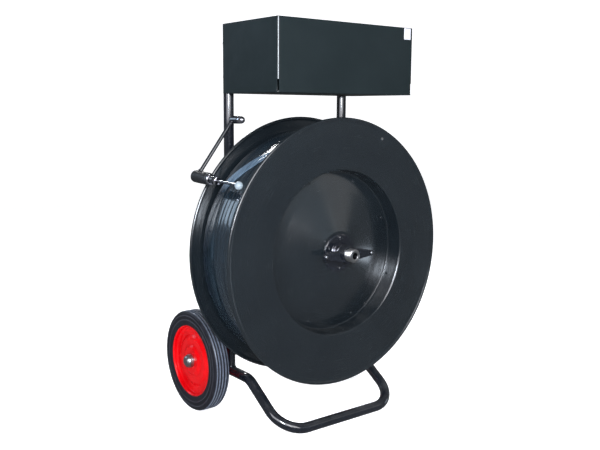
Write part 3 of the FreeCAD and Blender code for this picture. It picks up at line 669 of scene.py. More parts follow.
def flange_outline(side, bore):
    """Pressed sheet: hub flat, cone, dish, mouth, shallow swage and rolled edge."""
    edge = REEL_R
    skin = [(HUB, bore, 0.2), (HUB, 52, 4), (CREASE, 155, 3), (DISH + 0.4, 191, 3),
        (DISH, 196, 2.4), (FACE - 3.5, 200.5, 2), (FACE - 0.9, 203.4, 1.6), (FACE - 0.9, 208, 2),
        (FACE - 0.9, 238, 6), (FACE, 250, 6), (FACE, edge - 9.0, 2),
        (FACE + 1.2, edge - 7.0, 1.5), (FACE + 1.6, edge - 4.0, 2), (FACE + 0.6, edge - 1.4, 1.6),
        (FACE - 2.0, edge, 2), (FACE - 4.6, edge - 1.4, 1.6), (FACE - 6.0, edge - 4.0, 2),
        (FACE - 5.0, edge - 6.8, 1.5), (FACE - 2.2, edge - 8.2, 1), (FACE - 2.0, edge - 10, 1),
        (FACE - 2.0, 250, 6), (FACE - 2.9, 238, 6), (FACE - 2.9, 206.5, 2),
        (FACE - 5, 203.4, 1.5), (DISH - 2.0, 198.4, 2), (DISH - 1.6, 191, 3),
        (CREASE - 2.1, 155, 3), (HUB - 2.0, 51.4, 4), (HUB - 2.0, bore, 0.2),]
    return rounded([(side * a, r, c) for a, r, c in skin], steps=4)


def sleeve(start, end, inner, outer, inner_soft, outer_soft):
    """Outline of a plain ring between two radii, each with its own corner radius."""
    return [(start, inner, inner_soft), (start, outer, outer_soft), (end, outer, outer_soft),
            (end, inner, inner_soft)]


def reel_piece(name, outline, body, slot, nodes=(), steps=192, angle=32.0):
    return turned_piece(name, outline, REEL, "Y", body, slot, nodes, steps, 1.0, angle)


reel_piece("front_flange_sheet", flange_outline(-1, 23.0), "front_flange", "flange_enamel",
           ["front_flange"], 320)
reel_piece("rear_flange_sheet", flange_outline(1, 16.5), "reel", "flange_enamel",
           ["rear_flange"], 320)

for node, looks, body, slot, steps, outline in (
        ("front_bush", "_ring", "front_flange", "bright_chrome", 96,
         lambda a, b: [(a, 16.6, 0.4), (a, 20.4, 1.2), (a + 5, 22.2, 1.5), (a + 8, 23.0, 0.6),
                       (b, 23.0, 0.4), (b, 16.6, 0.4)]),
        ("hub_plate", "_disc", "front_flange", "black_enamel", 128,
         lambda a, b: [(a, 23.1, 0.5), (a, 43.0, 1), (a + 1.2, 46.9, 0.8), (b, 46.9, 0.4),
                       (b, 23.1, 0.4)]), ("rear_hub", "_turned", "reel", "black_enamel", 128,
         lambda a, b: [(a, 16.6, 0.3), (a, 47, 0.8), (a + 5, 47, 0.8), (a + 5, 25.5, 2.5),
                       (a + 8, 23, 1.5), (b, 23, 0.8), (b, 16.6, 0.3)]),
        ("rear_collar", "_turned", "reel", "zinc_steel", 96,
         lambda a, b: sleeve(a, b, 16.6, 25, 0.3, 0.8)),
        ("bearing_housing", "_turned", "frame", "black_enamel", 96,
         lambda a, b: sleeve(a, b, 23.6, 30, 0.6, 1.2)),
        ("front_bearing", "_turned", "frame", "bronze", 96,
         lambda a, b: sleeve(a, b, 16.6, 23.4, 0.5, 0.5)),
        ("rear_bearing", "_turned", "frame", "bronze", 96,
         lambda a, b: sleeve(a, b, 16.6, 23.4, 0.5, 0.5))):
    reel_piece(node + looks, rounded(outline(*along(node))), body, slot, [node], steps)
reel_piece("core_tube", rounded(sleeve(-COIL_HALF, COIL_HALF, *CORE, 0.8, 0.8)), "reel",
           "core_board", ["coil_core"], 160)


def ring_bolts(name, body, node, seat, direction, nut=False, finish="zinc_steel"):
    """Four bolt heads on washers, or four nuts with the ends of their bolts."""
    parts = []
    for i in range(4):
        t = tau * i / 4
        spot = on_reel(t, BOLT_CIRCLE, seat)
        if nut:
            parts.append(moved(hex_mesh(11.0, 4.1, 8.0), spot, direction, 0.35 + 1.1 * i))
            parts.append(moved(rod_mesh(3.9, 0.0, 7.0), spot, direction))
        else:
            parts.append(moved(disc_mesh(8.0, 4.2, 1.0), spot, direction))
            parts.append(moved(hex_mesh(11.0, 2.7, dome=0.9),
                               on_reel(t, BOLT_CIRCLE, seat + direction[1]), direction,
                               0.35 + 1.1 * i))
    lump(name, parts, body, finish, [node])


ring_bolts("hub_bolt_heads", "front_flange", "hub_bolts", along("hub_plate")[0], (0, -1, 0),
           finish="black_enamel")
ring_bolts("hub_nut_set", "front_flange", "hub_nuts", -HUB + 2.0, (0, 1, 0), nut=True)
ring_bolts("rear_hub_bolt_heads", "reel", "rear_hub_bolts", HUB + 5.0, (0, 1, 0))
ring_bolts("rear_hub_nut_set", "reel", "rear_hub_nuts", HUB - 2.0, (0, -1, 0), nut=True)

for name, count, first, reach, seat, pin, body, nodes in (
        ("rivet_heads", 8, 22.5, 181, -44.2, (3.1, -1.0, 2.1, 24, 1.3), "front_flange",
         ["flange_rivets"]),
        ("rear_flange_heads", 10, 168.6, 305, FACE - 2.0, (2.6, -0.5, 1.3, 20, 0.8), "reel", ())):
    heads = []
    for i in range(count):
        t = radians(first + 360.0 / count * i)
        heads.append(moved(rod_mesh(*pin), on_reel(t, reach, seat), (0, -1, 0)))
    lump(name, heads, body, "flange_enamel", nodes)
screw = middle("rim_screw")
screw.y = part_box("rim_screw")[1].y
lump("rim_screw_head", [moved(disc_mesh(3.1, 1.1, 1.5, 32), screw, (0, -1, 0)),
                        moved(rod_mesh(1.4, 0.0, 0.9, 6, 0.2), screw, (0, -1, 0))],
     "front_flange", "zinc_steel", ["rim_screw"])


def spindle_shape(steps=96):
    """Turned bar with a cut thread near the front end and a through bore."""
    low, high = along("spindle")
    rows = [(low, 8.5), (low, 13.6), (low + 0.8, 14.9)]
    thread_end = low + 52
    y = low + 1.6
    while y < thread_end:
        rows.append((y, None))
        y += 0.3
    rows += [(thread_end + 0.6, SPINDLE_R), (high - 1.0, SPINDLE_R), (high, 15.6), (high, 8.0),
             (high - 0.6, BORE_R), (low + 1.0, BORE_R)]
    verts = []
    for y, r in rows:
        for k in range(steps):
            t = tau * k / steps
            tooth = abs(2 * ((y / THREAD_PITCH + k / steps) % 1.0) - 1)
            radius = r or 16.45 - 0.75 * min(1.0, max(0.0, 1.35 * tooth - 0.2))
            verts.append(on_reel(t, radius, y))
    return verts, wrapped(even_rings(len(rows), steps))


finish_piece("spindle_bar", spindle_shape(), "reel", "zinc_steel", ["spindle"], 50.0)

# ------------------------------------------------------------ coil of strap
BASE_R = COIL_R - 4.0  # radius under the outer windings


def coil_sides():
    """Coil body: sides stepped where the strap edges sit slightly in and out."""
    dice = random.Random(7)
    outline = [(-COIL_HALF + 3.0, CORE[1]), (COIL_HALF - 3.0, CORE[1])]
    radius = 212.0
    right, left = [], []
    while radius < BASE_R - 2:
        right.append((COIL_HALF - 1.2 - dice.uniform(0, 1.6), radius))
        left.append((-COIL_HALF + 1.2 + dice.uniform(0, 1.6), radius))
        radius += 1.5
    top = [(COIL_HALF - 2.5, BASE_R - 1.0), (COIL_HALF - 4.0, BASE_R),
           (-COIL_HALF + 4.0, BASE_R), (-COIL_HALF + 2.5, BASE_R - 1.0)]
    return outline + right + top + left[::-1]


reel_piece("strap_coil_body", coil_sides(), "reel", "strap_black", ["strap_coil"], 224, 60.0)
STRAP_W, STRAP_T = 15.5, 0.9  # strap width and crown, in mm


def ribbon(path, samples):
    """Crowned strap along path(i) -> (angle, along, radius, tilt), in mm and radians."""
    half = STRAP_W / 2
    section = [(-half, -0.2)]
    for k in range(9):
        a = -half + STRAP_W * k / 8
        section.append((a, STRAP_T * (0.62 + 0.38 * (1 - (a / half) ** 4))))
    section.append((half, -0.2))
    verts = []
    for i in range(samples):
        angle, shift, radius, tilt = path(i)
        verts += [on_reel(angle, radius + up + tilt * across, shift + across)
                  for across, up in section]
    rings = even_rings(samples, len(section))
    return verts, wrapped(rings, False) + [tuple(rings[0]), tuple(reversed(rings[-1]))]


def drifting(dice, count, size):
    """Smooth random curve through evenly spaced values."""
    values = [dice.uniform(-size, size) for _ in range(count + 3)]

    def value(t):
        k = max(0, min(count, int(t)))
        f = t - k
        f = f * f * (3 - 2 * f)
        return values[k] * (1 - f) + values[k + 1] * f

    return value


def winding(layer, turns, start, pitch, radius, seed):
    """One pass of the strap from side to side, with small wander, tilt and lift."""
    dice = random.Random(seed)
    wander = drifting(dice, 90, 1.1)
    lean = drifting(dice, 140, 0.06)
    lift = drifting(dice, 140, 0.25)
    reach = COIL_HALF - STRAP_W / 2 - 0.3
    per_turn = 150
    samples = int(turns * per_turn)

    def path(i):
        t = i / per_turn
        travel = (start + pitch * t) % (4 * reach)
        shift = travel if travel < 2 * reach else 4 * reach - travel
        shift = max(-reach, min(reach, shift - reach + wander(t * 6)))
        return tau * t + 0.9 * layer, shift, radius + lift(t * 11), lean(t * 9)

    return ribbon(path, samples)


def crossing(points, radius, samples=160):
    """Strap laid across the others through (degrees, along, lift, tilt) points."""

    def path(i):
        t = i / (samples - 1) * (len(points) - 1)
        k = min(int(t), len(points) - 2)
        f = t - k
        before = points[max(k - 1, 0)]
        a, b = points[k], points[k + 1]
        after = points[min(k + 2, len(points) - 1)]
        mixed = [0.5 * (2 * q + (r - p) * f + (2 * p - 5 * q + 4 * r - w) * f * f
                        + (3 * q - p - 3 * r + w) * f ** 3)
                 for p, q, r, w in zip(before, a, b, after)]
        return radians(mixed[0]), mixed[1], radius + mixed[2], mixed[3]

    return ribbon(path, samples)


coil_parts = []
for layer, (turns, start, pitch, lift) in enumerate((
        (9.7, 4.0, 14.6, 0.0), (9.1, 90.0, 15.9, 0.75), (6.2, 200.0, 18.5, 1.4))):
    coil_parts.append(winding(layer, turns, start, pitch, BASE_R - 1.0 + lift, 11 + layer))
# the straps that cross the coil: degrees, place along the coil, lift and tilt
CROSSING = ((196, 66.0, -0.4, 0.0), (180, 66.4, -0.2, 0.0), (160, 64.0, 0.2, 0.01),
            (146, 54.0, 0.5, 0.03), (135, 21.0, 0.8, 0.05), (127, -8.0, 0.7, 0.04),
            (118, -40.0, 0.4, 0.02), (104, -61.0, 0.1, 0.0), (80, -66.0, -0.3, 0.0),
            (50, -66.4, -0.6, 0.0))
crossing_straps = [crossing([(a + shift, y, r, t) for a, y, r, t in CROSSING], BASE_R + up)
                   for shift, up in ((2.6, 1.4), (-2.4, 1.1))]
lump("strap_coil_windings", coil_parts, "reel", "strap_black", angle=35.0)
strap_over = lump("strap_coil_crossing", crossing_straps, "reel", "strap_black", angle=35.0)
# the crossing straps carry the finish with the painted reflection band
strap_over.data.materials[0] = FINISHES["strap_back"]

# ------------------------------------------------------------ wing handle
wing_low, wing_high = along("wing_handle")


def wing_shape():
    """Cast two-armed nut: hub and arms fused, remeshed and smoothed like a casting."""
    hub = turned_mesh(rounded([
        (wing_low, 16.7, 1.0), (wing_low, 20.0, 2.2), (wing_low + 4, 22, 2), (wing_high - 1, 22, 1),
        (wing_high - 1, 16.7, 0.6)], steps=4), REEL, "Y", 96)
    outline = rounded([
        (-74, -4, 3), (-22, -15, 6), (22, -15, 6), (74, -9, 3), (78, -5, 3), (78, 1, 3),
        (74, 4, 3), (22, 15, 6), (-22, 15, 6), (-74, 9, 3), (-78, 5, 3), (-78, -1, 3)], steps=5)
    arms = plate_mesh([outline, circle_loop(19.0)], wing_low + 1.0, wing_low + 9.0, 2.2)
    return modified(oriented("wing", *joined([hub, shifted(arms, REEL)])),
                    ("REMESH", {"mode": "VOXEL", "voxel_size": 0.0008}),
                    ("SMOOTH", {"factor": 0.5, "iterations": 6}))


adopt(wing_shape(), "wing_handle_cast", "wing_handle", "black_enamel", ["wing_handle"], 80.0)
pins = []
for sign in (1, -1):
    spot = REEL + Vector((sign * 71.0 * MM, (wing_low + 1.4) * MM, -sign * 2.0 * MM))
    pins.append(moved(rod_mesh(3.3, -1.0, 2.2, 24, 1.0), spot, (0, -1, 0)))
lump("wing_pin_heads", pins, "wing_handle", "zinc_steel", ["wing_pins"])

# ------------------------------------------------------------ wheels
def wheel_set(name, side):
    """Grooved tyre, pressed rim, hub tube and domed axle cap, measured out from the middle."""
    axle = middle(name + "_tyre")
    axle.x = 0.0
    inner, outer = from_middle(name + "_tyre")
    tyre_r = half(name + "_tyre", "Z")
    rim_r = half(name + "_rim", "Z") - 0.5
    tread = []
    for groove in range(4):
        start = (outer + inner) / 2 - 14.8 + 8.2 * groove
        tread += [(start + a, tyre_r - deep, 0.5)
                  for a, deep in ((-0.1, 0.05), (0.5, 2.2), (4.5, 2.2), (5.1, 0.05))]
    outer_wall = [(outer - a, tyre_r - deep, c) for a, deep, c in (
        (4.0, 1.6, 2.5), (1.6, 6.0, 3), (0.7, 10.5, 1.0), (0.1, 11.3, 0.6), (0.1, 13.0, 0.6),
        (1.3, 13.8, 0.8), (1.5, 21.0, 1), (0.4, 22.0, 0.7), (0.4, 24.5, 0.8))]
    outer_wall += [(outer - 1.4, rim_r + 4.0, 1.5), (outer - 3.0, rim_r, 1)]
    inner_wall = [(inner + outer - a, r, c) for a, r, c in outer_wall[::-1]]
    tyre = (tread + [(outer - 7.0, tyre_r - 0.3, 3)] + outer_wall + inner_wall
            + [(inner + 7.0, tyre_r - 0.3, 3)])
    rim = [(inner + 4, rim_r, 0.4), (inner + 4, rim_r - 2.5, 0.5)]
    rim += [(outer - a, r, c) for a, r, c in (
        (15, rim_r - 2.5, 2), (17, rim_r - 8, 3), (17, 66, 3), (12, 58, 4), (12, 40, 4),
        (7, 32, 3), (7, 17.1, 0.4), (4.5, 17.1, 0.4), (4.5, 33, 3), (9.5, 41, 4), (9.5, 59, 4),
        (14.5, 67, 3), (14.5, rim_r - 8.5, 3), (12, rim_r - 3.7, 2), (5, rim_r - 2.5, 1.5),
        (2.2, rim_r + 0.2, 1.0), (3.0, rim_r + 1.4, 0.5), (5.0, rim_r, 0.5))]
    hub = [(inner, 10.2, 0.4), (inner, 17, 0.8), (outer + 1, 17, 0.8), (outer + 1, 10.2, 0.4)]
    near, far = from_middle(name + "_axle_cap")
    cap_r = half(name + "_axle_cap", "Z")
    cap = [(near, 10.1, 0.3), (near, cap_r, 0.5), (near + 2.6, cap_r, 1.0),
           (near + 3.2, cap_r - 1.4, 1.0), (near + 6.6, cap_r - 2.6, 3), (near + 10.0, 9.8, 4),
           (near + 11.4, 4.8, 3), (far, 0.0, 0), (near + 5.8, 0.0, 0), (near + 5.8, 10.1, 0.3)]
    for node, looks, outline, soft, body, slot, steps in (
            ("_tyre", "_moulded", tyre, 3, name + "_wheel", "tyre_rubber", 224),
            ("_rim", "_pressed", rim, 5, name + "_wheel", "rim_red", 224),
            ("_hub", "_tube", hub, 3, name + "_wheel", "zinc_steel", 96),
            ("_axle_cap", "_domed", cap, 4, "frame", "zinc_steel", 96)):
        turned_piece(name + node + looks, rounded(outline, steps=soft), axle, "X", body, slot,
                     [name + node], steps, side)


wheel_set("left", -1.0)
wheel_set("right", 1.0)

# ------------------------------------------------------------ brake and strap guide
BLOCK = middle("brake_block")
LEAN = (middle("guide_collar") - BLOCK).normalized()
GUIDE_TURN = Vector((0.0, -1.0, 0.0)).rotation_difference(LEAN)


def guide_span(node):
    """Front and back end of a guide piece in mm from the block's middle, ahead negative."""
    low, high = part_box(node)
    place = -(middle(node) - BLOCK).dot(LEAN) / MM
    reach = ((high.y - low.y) - (high.x - low.x) * abs(LEAN.z)) / abs(LEAN.y) / 2 / MM
    return place - reach, place + reach


def guide_piece(name, outline, slot, nodes, steps=72, angle=32.0):
    """Piece turned about the leaning guide: outline points are (mm from the block, radius)."""
    verts, faces = turned_mesh(outline, Vector((0.0, 0.0, 0.0)), "Y", steps)
    verts = [BLOCK + GUIDE_TURN @ Vector(v) for v in verts]
    return finish_piece(name, (verts, faces), "brake_arm", slot, nodes, angle)


low, high = guide_span("brake_block")
block_r = half("brake_block", "X")
block = [(high, 4.2, 0.3), (high, block_r - 2.2, 1.5), (high - 1.2, block_r - 0.2, 1.2)]
y = high - 3.0
while y > low + 4.0:
    block += [(y, block_r - 0.1, 0.3), (y - 0.5, block_r - 0.5, 0.2), (y - 1.0, block_r - 0.1, 0.3)]
    y -= 3.1
block += [(low + 1.2, block_r - 0.2, 1.2), (low, block_r - 2.2, 1.5), (low, 4.2, 0.3)]
nut_front, nut_back = guide_span("guide_nut")
neck = nut_front - 1.0
for name, node, slot, soft, steps, outline in (
        ("brake_block_moulded", "brake_block", "brake_rubber", 2, 96, lambda a, b: block),
        ("guide_washer_disc", "guide_washer", "brake_rubber", 3, 72,
         lambda a, b: sleeve(a, b, 4.1, 13.4, 0.5, 0.5)),
        ("guide_ring_turned", "guide_ring", "bright_chrome", 4, 72,
         lambda a, b: [(b, 4.1, 0.3), (b, 11, 1), (b - 2, 12.4, 1.5), (a + 2, 12.4, 1.5),
                       (a, 11, 1), (a, 4.1, 0.3)]),
        ("guide_collar_turned", "guide_collar", "black_enamel", 3, 72,
         lambda a, b: [(a, 4.1, 0.3), (a, 9.4, 1.2), (a + 5, 9.4, 0.6), (a + 5.6, 8.6, 0.4),
                       (a + 6.6, 8.6, 0.4), (a + 7.2, 9.4, 0.6), (b, 9.4, 1.2), (b, 4.1, 0.3)]),
        ("guide_rod_bar", "guide_rod", "black_enamel", 3, 48,
         lambda a, b: [(b, 0, 0), (b, 4, 0.6), (neck, 4, 0.3), (neck - 1.0, 3.0, 0.3),
                       (a, 3.0, 0.5), (a, 0, 0)])):
    guide_piece(name, rounded(outline(*guide_span(node)), steps=soft), slot, [node], steps)
lump("guide_nut_hex", [moved(hex_mesh(17.0, nut_back - nut_front, 8.0),
                             BLOCK - LEAN * nut_back * MM, LEAN, 0.4)],
     "brake_arm", "bright_chrome", ["guide_nut"])
ball_r = half("ball_end", "X")
ball_mid = middle("ball_end")
ball_mid.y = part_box("ball_end")[0].y + ball_r * MM
ball_at = -(ball_mid - BLOCK).dot(LEAN) / MM
ball_r -= 0.05
ball = [(ball_at - ball_r, 0.0)]
for k in range(1, 17):
    t = pi * k / 18
    ball.append((ball_at - ball_r * cos(t), ball_r * sin(t)))
ball += [(ball_at + 8.6, 3.05), (ball_at, 3.05), (ball_at, 0.0)]
guide_piece("ball_knob", ball, "ball_white", ["ball_end"], 64, 40.0)

pivot_axis = Vector((PIVOT.x, 0.0, PIVOT.z))
low, high = along("arm_barrel", 0.0)
turned_piece("arm_barrel_turned", rounded(sleeve(low, high, 5.1, 9.3, 0.3, 0.9)), pivot_axis,
             "Y", "brake_arm", "black_enamel", ["arm_barrel"], 72)
low, high = along("pivot_cap", 0.0)
cap = [(high, 5.05, 0.3), (high, 8.9, 0.7), (high - 6.5, 8.9, 0.8), (high - 9.8, 8.3, 2),
       (high - 13.8, 6.5, 3), (high - 16.8, 3.8, 2), (low, 0, 0), (low + 6, 0, 0),
       (low + 6, 5.05, 0.3)]
turned_piece("pivot_cap_domed", rounded(cap, steps=4), pivot_axis, "Y", "frame",
             "bright_chrome", ["pivot_cap"], 72)

arm_y = middle("brake_arm").y
arm_top = Vector((PIVOT.x - 6 * MM, arm_y, PIVOT.z - 1 * MM))
arm_end = Vector((BLOCK.x + 2 * MM, arm_y, BLOCK.z + 1.9 * MM))
arm_dir = (arm_end - arm_top).normalized()
arm_from = arm_top + arm_dir * 3.0 * MM
arm_to = arm_end - arm_dir * 11.5 * MM
arm_points = [arm_from.lerp(arm_to, k / 40) for k in range(41)]
arm_parts = [tube_mesh(arm_points, 4.55 * MM, 24)]


def ring_around(spot, direction, radius, count=40):
    q = Vector(direction).to_track_quat("Z", "Y")
    return [Vector(spot) + q @ Vector((radius * x, radius * y, 0.0)) for x, y in circle(count)]


for spot, seed in ((arm_top + arm_dir * 5.0 * MM, 5), (arm_end - arm_dir * 14.9 * MM, 6)):
    arm_parts.append(weld_mesh(ring_around(spot, arm_dir, 4.9 * MM), 0.0015, True, seed))
lump("brake_arm_bar", arm_parts, "brake_arm", "black_enamel", ["brake_arm"], 40.0)

# ------------------------------------------------------------ toolbox
def toolbox_shape():
    """Folded sheet tray: rounded upright corners, folded floor edge, corner relief slots."""
    x0, y0, z0 = (v / MM for v in BOX_LOW)
    x1, y1, z1 = (v / MM for v in BOX_HIGH)
    radius, corner_steps = 4.0, 6
    loop, tags = [], []
    corners = [((x0 + radius, y0 + radius), 180, True), ((x1 - radius, y0 + radius), 270, True),
               ((x1 - radius, y1 - radius), 0, False), ((x0 + radius, y1 - radius), 90, False)]
    for index, ((cx, cy), start, front) in enumerate(corners):
        for k in range(corner_steps + 1):
            t = radians(start + 90.0 * k / corner_steps)
            loop.append((cos(t), sin(t), cx, cy))
            tags.append(front and k < corner_steps)
        nx, ny = corners[(index + 1) % 4][0]
        a = radians(start + 90.0)
        for k in range(1, 12):
            s = k / 12
            loop.append((cos(a), sin(a), cx + (nx - cx) * s, cy + (ny - cy) * s))
            tags.append(False)
    levels = [(z0 + 1.6 - 1.6 * cos(radians(a)), 1.6 - 1.6 * sin(radians(a)))
              for a in (0, 22.5, 45, 67.5, 90)]
    levels += [(z0 + 2.4, 0.0), (z0 + 28.0, 0.0), (z0 + 29.2, 0.0), (z0 + 31.0, 0.0),
               (z0 + 60, 0.0), (z0 + 100, 0.0), (z1 - 2.0, 0.0), (z1, 0.0)]
    verts, faces = [], []
    count = len(loop)
    for z, inset in levels:
        reach = radius - inset
        verts += [(cx + nx * reach, cy + ny * reach, z) for nx, ny, cx, cy in loop]
    for i in range(len(levels) - 1):
        slot_rows = levels[i][0] > z0 + 2.0 and levels[i + 1][0] <= z0 + 28.5
        for k in range(count):
            n = (k + 1) % count
            if slot_rows and tags[k]:
                continue
            faces.append((i * count + k, i * count + n, (i + 1) * count + n, (i + 1) * count + k))
    faces.append(tuple(reversed(range(count))))
    return [Vector(v) * MM for v in verts], faces


def toolbox():
    mesh = oriented("tray", *toolbox_shape())
    if min(mesh.polygons, key=lambda face: face.center.z).normal.z > 0:
        mesh.flip_normals()
    return modified(mesh, ("SOLIDIFY", {"thickness": 0.002, "offset": -1, "use_even_offset": True}),
                    ("BEVEL", {"width": 0.0005, "segments": 2, "limit_method": "ANGLE",
                               "angle_limit": radians(50)}))


adopt(toolbox(), "toolbox_tray", "frame", "toolbox_enamel", ["toolbox"], 40.0)

bolt_parts, nut_parts = [], []
nut_low, nut_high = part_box("toolbox_nuts")
wall_y = BOX_HIGH.y - 0.002
for sign in (-1, 1):
    for height in (0.04, 0.12):
        x = sign * UPRIGHT.x
        z = BOX_LOW.z + height
        spot = Vector((x, wall_y, z))
        spin = 0.3 + 9.0 * height + sign
        bolt_parts.append(moved(disc_mesh(7.0, 3.2, 0.8), spot, (0, -1, 0)))
        bolt_parts.append(moved(hex_mesh(10.0, 3.1, dome=0.1), spot - Vector((0, 0.0008, 0)),
                                (0, -1, 0), spin))
        bolt_parts.append(moved(rod_mesh(2.9, 0.0, 35.6), spot, (0, 1, 0)))
        back = Vector((x, nut_low.y, z))
        nut_parts.append(moved(hex_mesh(10.0, (nut_high.y - nut_low.y) / MM, 6.0), back,
                               (0, 1, 0), spin))
lump("toolbox_bolt_heads", bolt_parts, "frame", "zinc_steel", ["toolbox_bolts"])
lump("toolbox_nut_set", nut_parts, "frame", "zinc_steel", ["toolbox_nuts"])

# ------------------------------------------------------------ frame tubes
# outer and inner radius of the frame tubes and height of the level legs, in mm
TUBE, TUBE_BORE, LEG_Z = 12.5, 10.5, 106.0


def bent_path(points, radii, step=2.0):
    """Dense centre line through the points with each inner corner bent to its radius."""
    points = [Vector(p) for p in points]
    path = [points[0]]
    for i in range(1, len(points) - 1):
        corner = points[i]
        back = (points[i - 1] - corner).normalized()
        ahead = (points[i + 1] - corner).normalized()
        bend = back.angle(ahead) / 2
        reach = radii[i - 1] / tan(bend)
        centre = corner + (back + ahead).normalized() * radii[i - 1] / sin(bend)
        one = corner + back * reach - centre
        two = corner + ahead * reach - centre
        sweep = one.angle(two)
        count = max(6, int(radii[i - 1] * sweep / step))
        for k in range(count + 1):
            t = k / count
            spot = (one * sin((1 - t) * sweep) + two * sin(t * sweep))
            path.append(centre + spot / sin(sweep))
    path.append(points[-1])
    dense = []
    for a, b in zip(path, path[1:]):
        count = max(1, int((b - a).length / 8.0))
        dense += [a.lerp(b, k / count) * MM for k in range(count)]
    dense.append(path[-1] * MM)
    return dense


ux, uy = UPRIGHT.x / MM, UPRIGHT.y / MM
foot_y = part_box("foot_tube")[0].y / MM + TUBE
leg_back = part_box("foot_tube")[1].y / MM
foot_points = bent_path([(-ux, leg_back, LEG_Z), (-ux, uy - 86, LEG_Z), (-ux, foot_y, TUBE),
                         (ux, foot_y, TUBE), (ux, uy - 86, LEG_Z), (ux, leg_back, LEG_Z)],
                        [53, 70, 70, 53])
lump("foot_tube_bent", [tube_mesh(foot_points, (TUBE - 0.02) * MM, 56)], "frame",
     "black_enamel", ["foot_tube"], 50.0)
for side in ("left", "right"):
    centre = middle(side + "_upright")
    centre = Vector((centre.x, UPRIGHT.y, 0.0))
    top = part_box(side + "_upright")[1].z / MM
    start = LEG_Z + 3.0
    turned_piece(side + "_upright_tube", rounded([
        (start, TUBE_BORE, 0), (start, TUBE, 0), (top, TUBE, 0.4), (top, TUBE_BORE, 0.3)]),
        centre, "Z", "frame", "black_enamel", [side + "_upright"], 56)
for side in ("upper", "lower"):
    centre = middle(side + "_crossbar")
    reach = ux - 4.0
    turned_piece(side + "_crossbar_tube", [
        (-reach, TUBE_BORE), (-reach, TUBE), (reach, TUBE), (reach, TUBE_BORE)],
        Vector((0.0, centre.y, centre.z)), "X", "frame", "black_enamel", [side + "_crossbar"], 56)

# ------------------------------------------------------------ frame plates and welds
plate_centre = middle("bearing_plate")
low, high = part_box("bearing_plate")
half_x, half_z = half("bearing_plate", "X"), half("bearing_plate", "Z")
outline = rounded([(-half_x, -half_z, 6), (half_x, -half_z, 6), (half_x, half_z, 6),
                   (-half_x, half_z, 6)], steps=5)
shape = plate_mesh([outline, circle_loop(30.2)], low.y / MM, high.y / MM, 0.7)
finish_piece("bearing_plate_cut", shifted(shape, (plate_centre.x, 0.0, plate_centre.z)),
             "frame", "black_enamel", ["bearing_plate"])

for name in ("left", "right"):
    low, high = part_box(name + "_axle_plate")
    y, z = middle(name + "_tyre").y / MM, middle(name + "_tyre").z / MM
    outline = rounded([(y - 58, LEG_Z - 12, 4), (y + 8, LEG_Z - 12, 10), (y + 22, z - 12, 10),
        (y + 22, z + 12, 10), (y + 10, z + 22, 10), (y - 10, z + 22, 12),
        (y - 58, LEG_Z + 12, 4)], steps=5)
    shape = plate_mesh([outline], low.x / MM, high.x / MM, 0.7, "YZ")
    finish_piece(name + "_axle_plate_cut", shape, "frame", "black_enamel", [name + "_axle_plate"])

BEAD = 0.0018  # radius of most weld beads, in metres
welds = []
for node, seed in (("upper_crossbar", 21), ("lower_crossbar", 31)):
    bar = middle(node)
    for sign in (-1, 1):
        points = []
        for dy, dz in circle_loop(TUBE, 60):
            reach = sqrt(max(0.0, TUBE * TUBE - dy * dy))
            x = sign * (UPRIGHT.x / MM - reach - 0.6 * (reach > 0.5))
            points.append((x * MM, bar.y + dy * 1.03 * MM, bar.z + dz * 1.05 * MM))
        welds.append(weld_mesh(points, BEAD, True, seed + sign))
back_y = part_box("bearing_plate")[1].y
for sign in (-1, 1):
    points = []
    for dx, dy in circle_loop(TUBE, 60):
        reach = sqrt(max(0.0, TUBE * TUBE - dx * dx))
        points.append((sign * UPRIGHT.x + dx * 1.04 * MM, UPRIGHT.y + dy * 1.04 * MM,
                       (LEG_Z + reach + 0.8) * MM))
    welds.append(weld_mesh(points, BEAD, True, 41 + sign))
    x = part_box("left_axle_plate")[1].x if sign < 0 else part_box("right_axle_plate")[0].x
    for dz, seed in ((10.5, 51), (-10.5, 61)):
        run = [(x - sign * 3.0 * MM, y * MM, (LEG_Z + dz) * MM) for y in (50, 84)]
        welds.append(weld_mesh(run, BEAD, False, seed + sign))
    z = plate_centre.z + sign * (half_z - 27.0) * MM
    for offset in (-1, 1):
        x = offset * (half_x + 0.5) * MM
        run = [(x, back_y - 0.0012, z - 0.009), (x, back_y - 0.0012, z + 0.009)]
        welds.append(weld_mesh(run, 0.0017, False, 71 + sign * 3 + offset))
for y, seed in ((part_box("bearing_plate")[0].y - 0.0008, 81), (back_y + 0.0008, 82)):
    ring = [(REEL.x + 0.0306 * dx, y, REEL.z + 0.0306 * dz) for dx, dz in circle(72)]
    welds.append(weld_mesh(ring, 0.0019, True, seed))
lump("frame_welds", welds, "frame", "black_enamel", angle=60.0)

# ------------------------------------------------------------ finishes on the kept CAD nodes
SLOT_OF = {row["node"]: row["material_slot"] for row in frame["record"]["subparts"]}
for node, thing in frame["nodes"].items():
    finish = FINISHES[SLOT_OF[node]]
    thing.data.materials.clear()
    thing.data.materials.append(finish)

# ------------------------------------------------------------ floor, light and camera
def studio_piece(name, rows, sides=96):
    """Round sweep of the pale studio from (radius, height) rows."""
    verts = [(r * x, r * y, z - 0.0005) for r, z in rows for x, y in circle(sides)]
    faces = [face[::-1] for face in wrapped(even_rings(len(rows), sides), False)]
    if rows[0][0] < 1.0:
        faces.insert(0, tuple(range(sides)))
    mesh = bpy.data.meshes.new(name)
    mesh.from_pydata(verts, [], faces)
    mesh.shade_smooth()
    mesh.materials.append(FINISHES["studio_paint"])
    thing = placed(name, mesh)
    thing.visible_glossy = False
    return thing


f = Finish("studio_paint")
tone = f.mix(f.noise(1.2, 3), (0.86, 0.86, 0.86), (0.88, 0.88, 0.88))
f.shader.inputs["Emission Color"].default_value = (1.0, 1.0, 1.0, 1.0)
f.shader.inputs["Emission Strength"].default_value = 0.75
f.set(color=tone, rough=0.7, level=0.2)


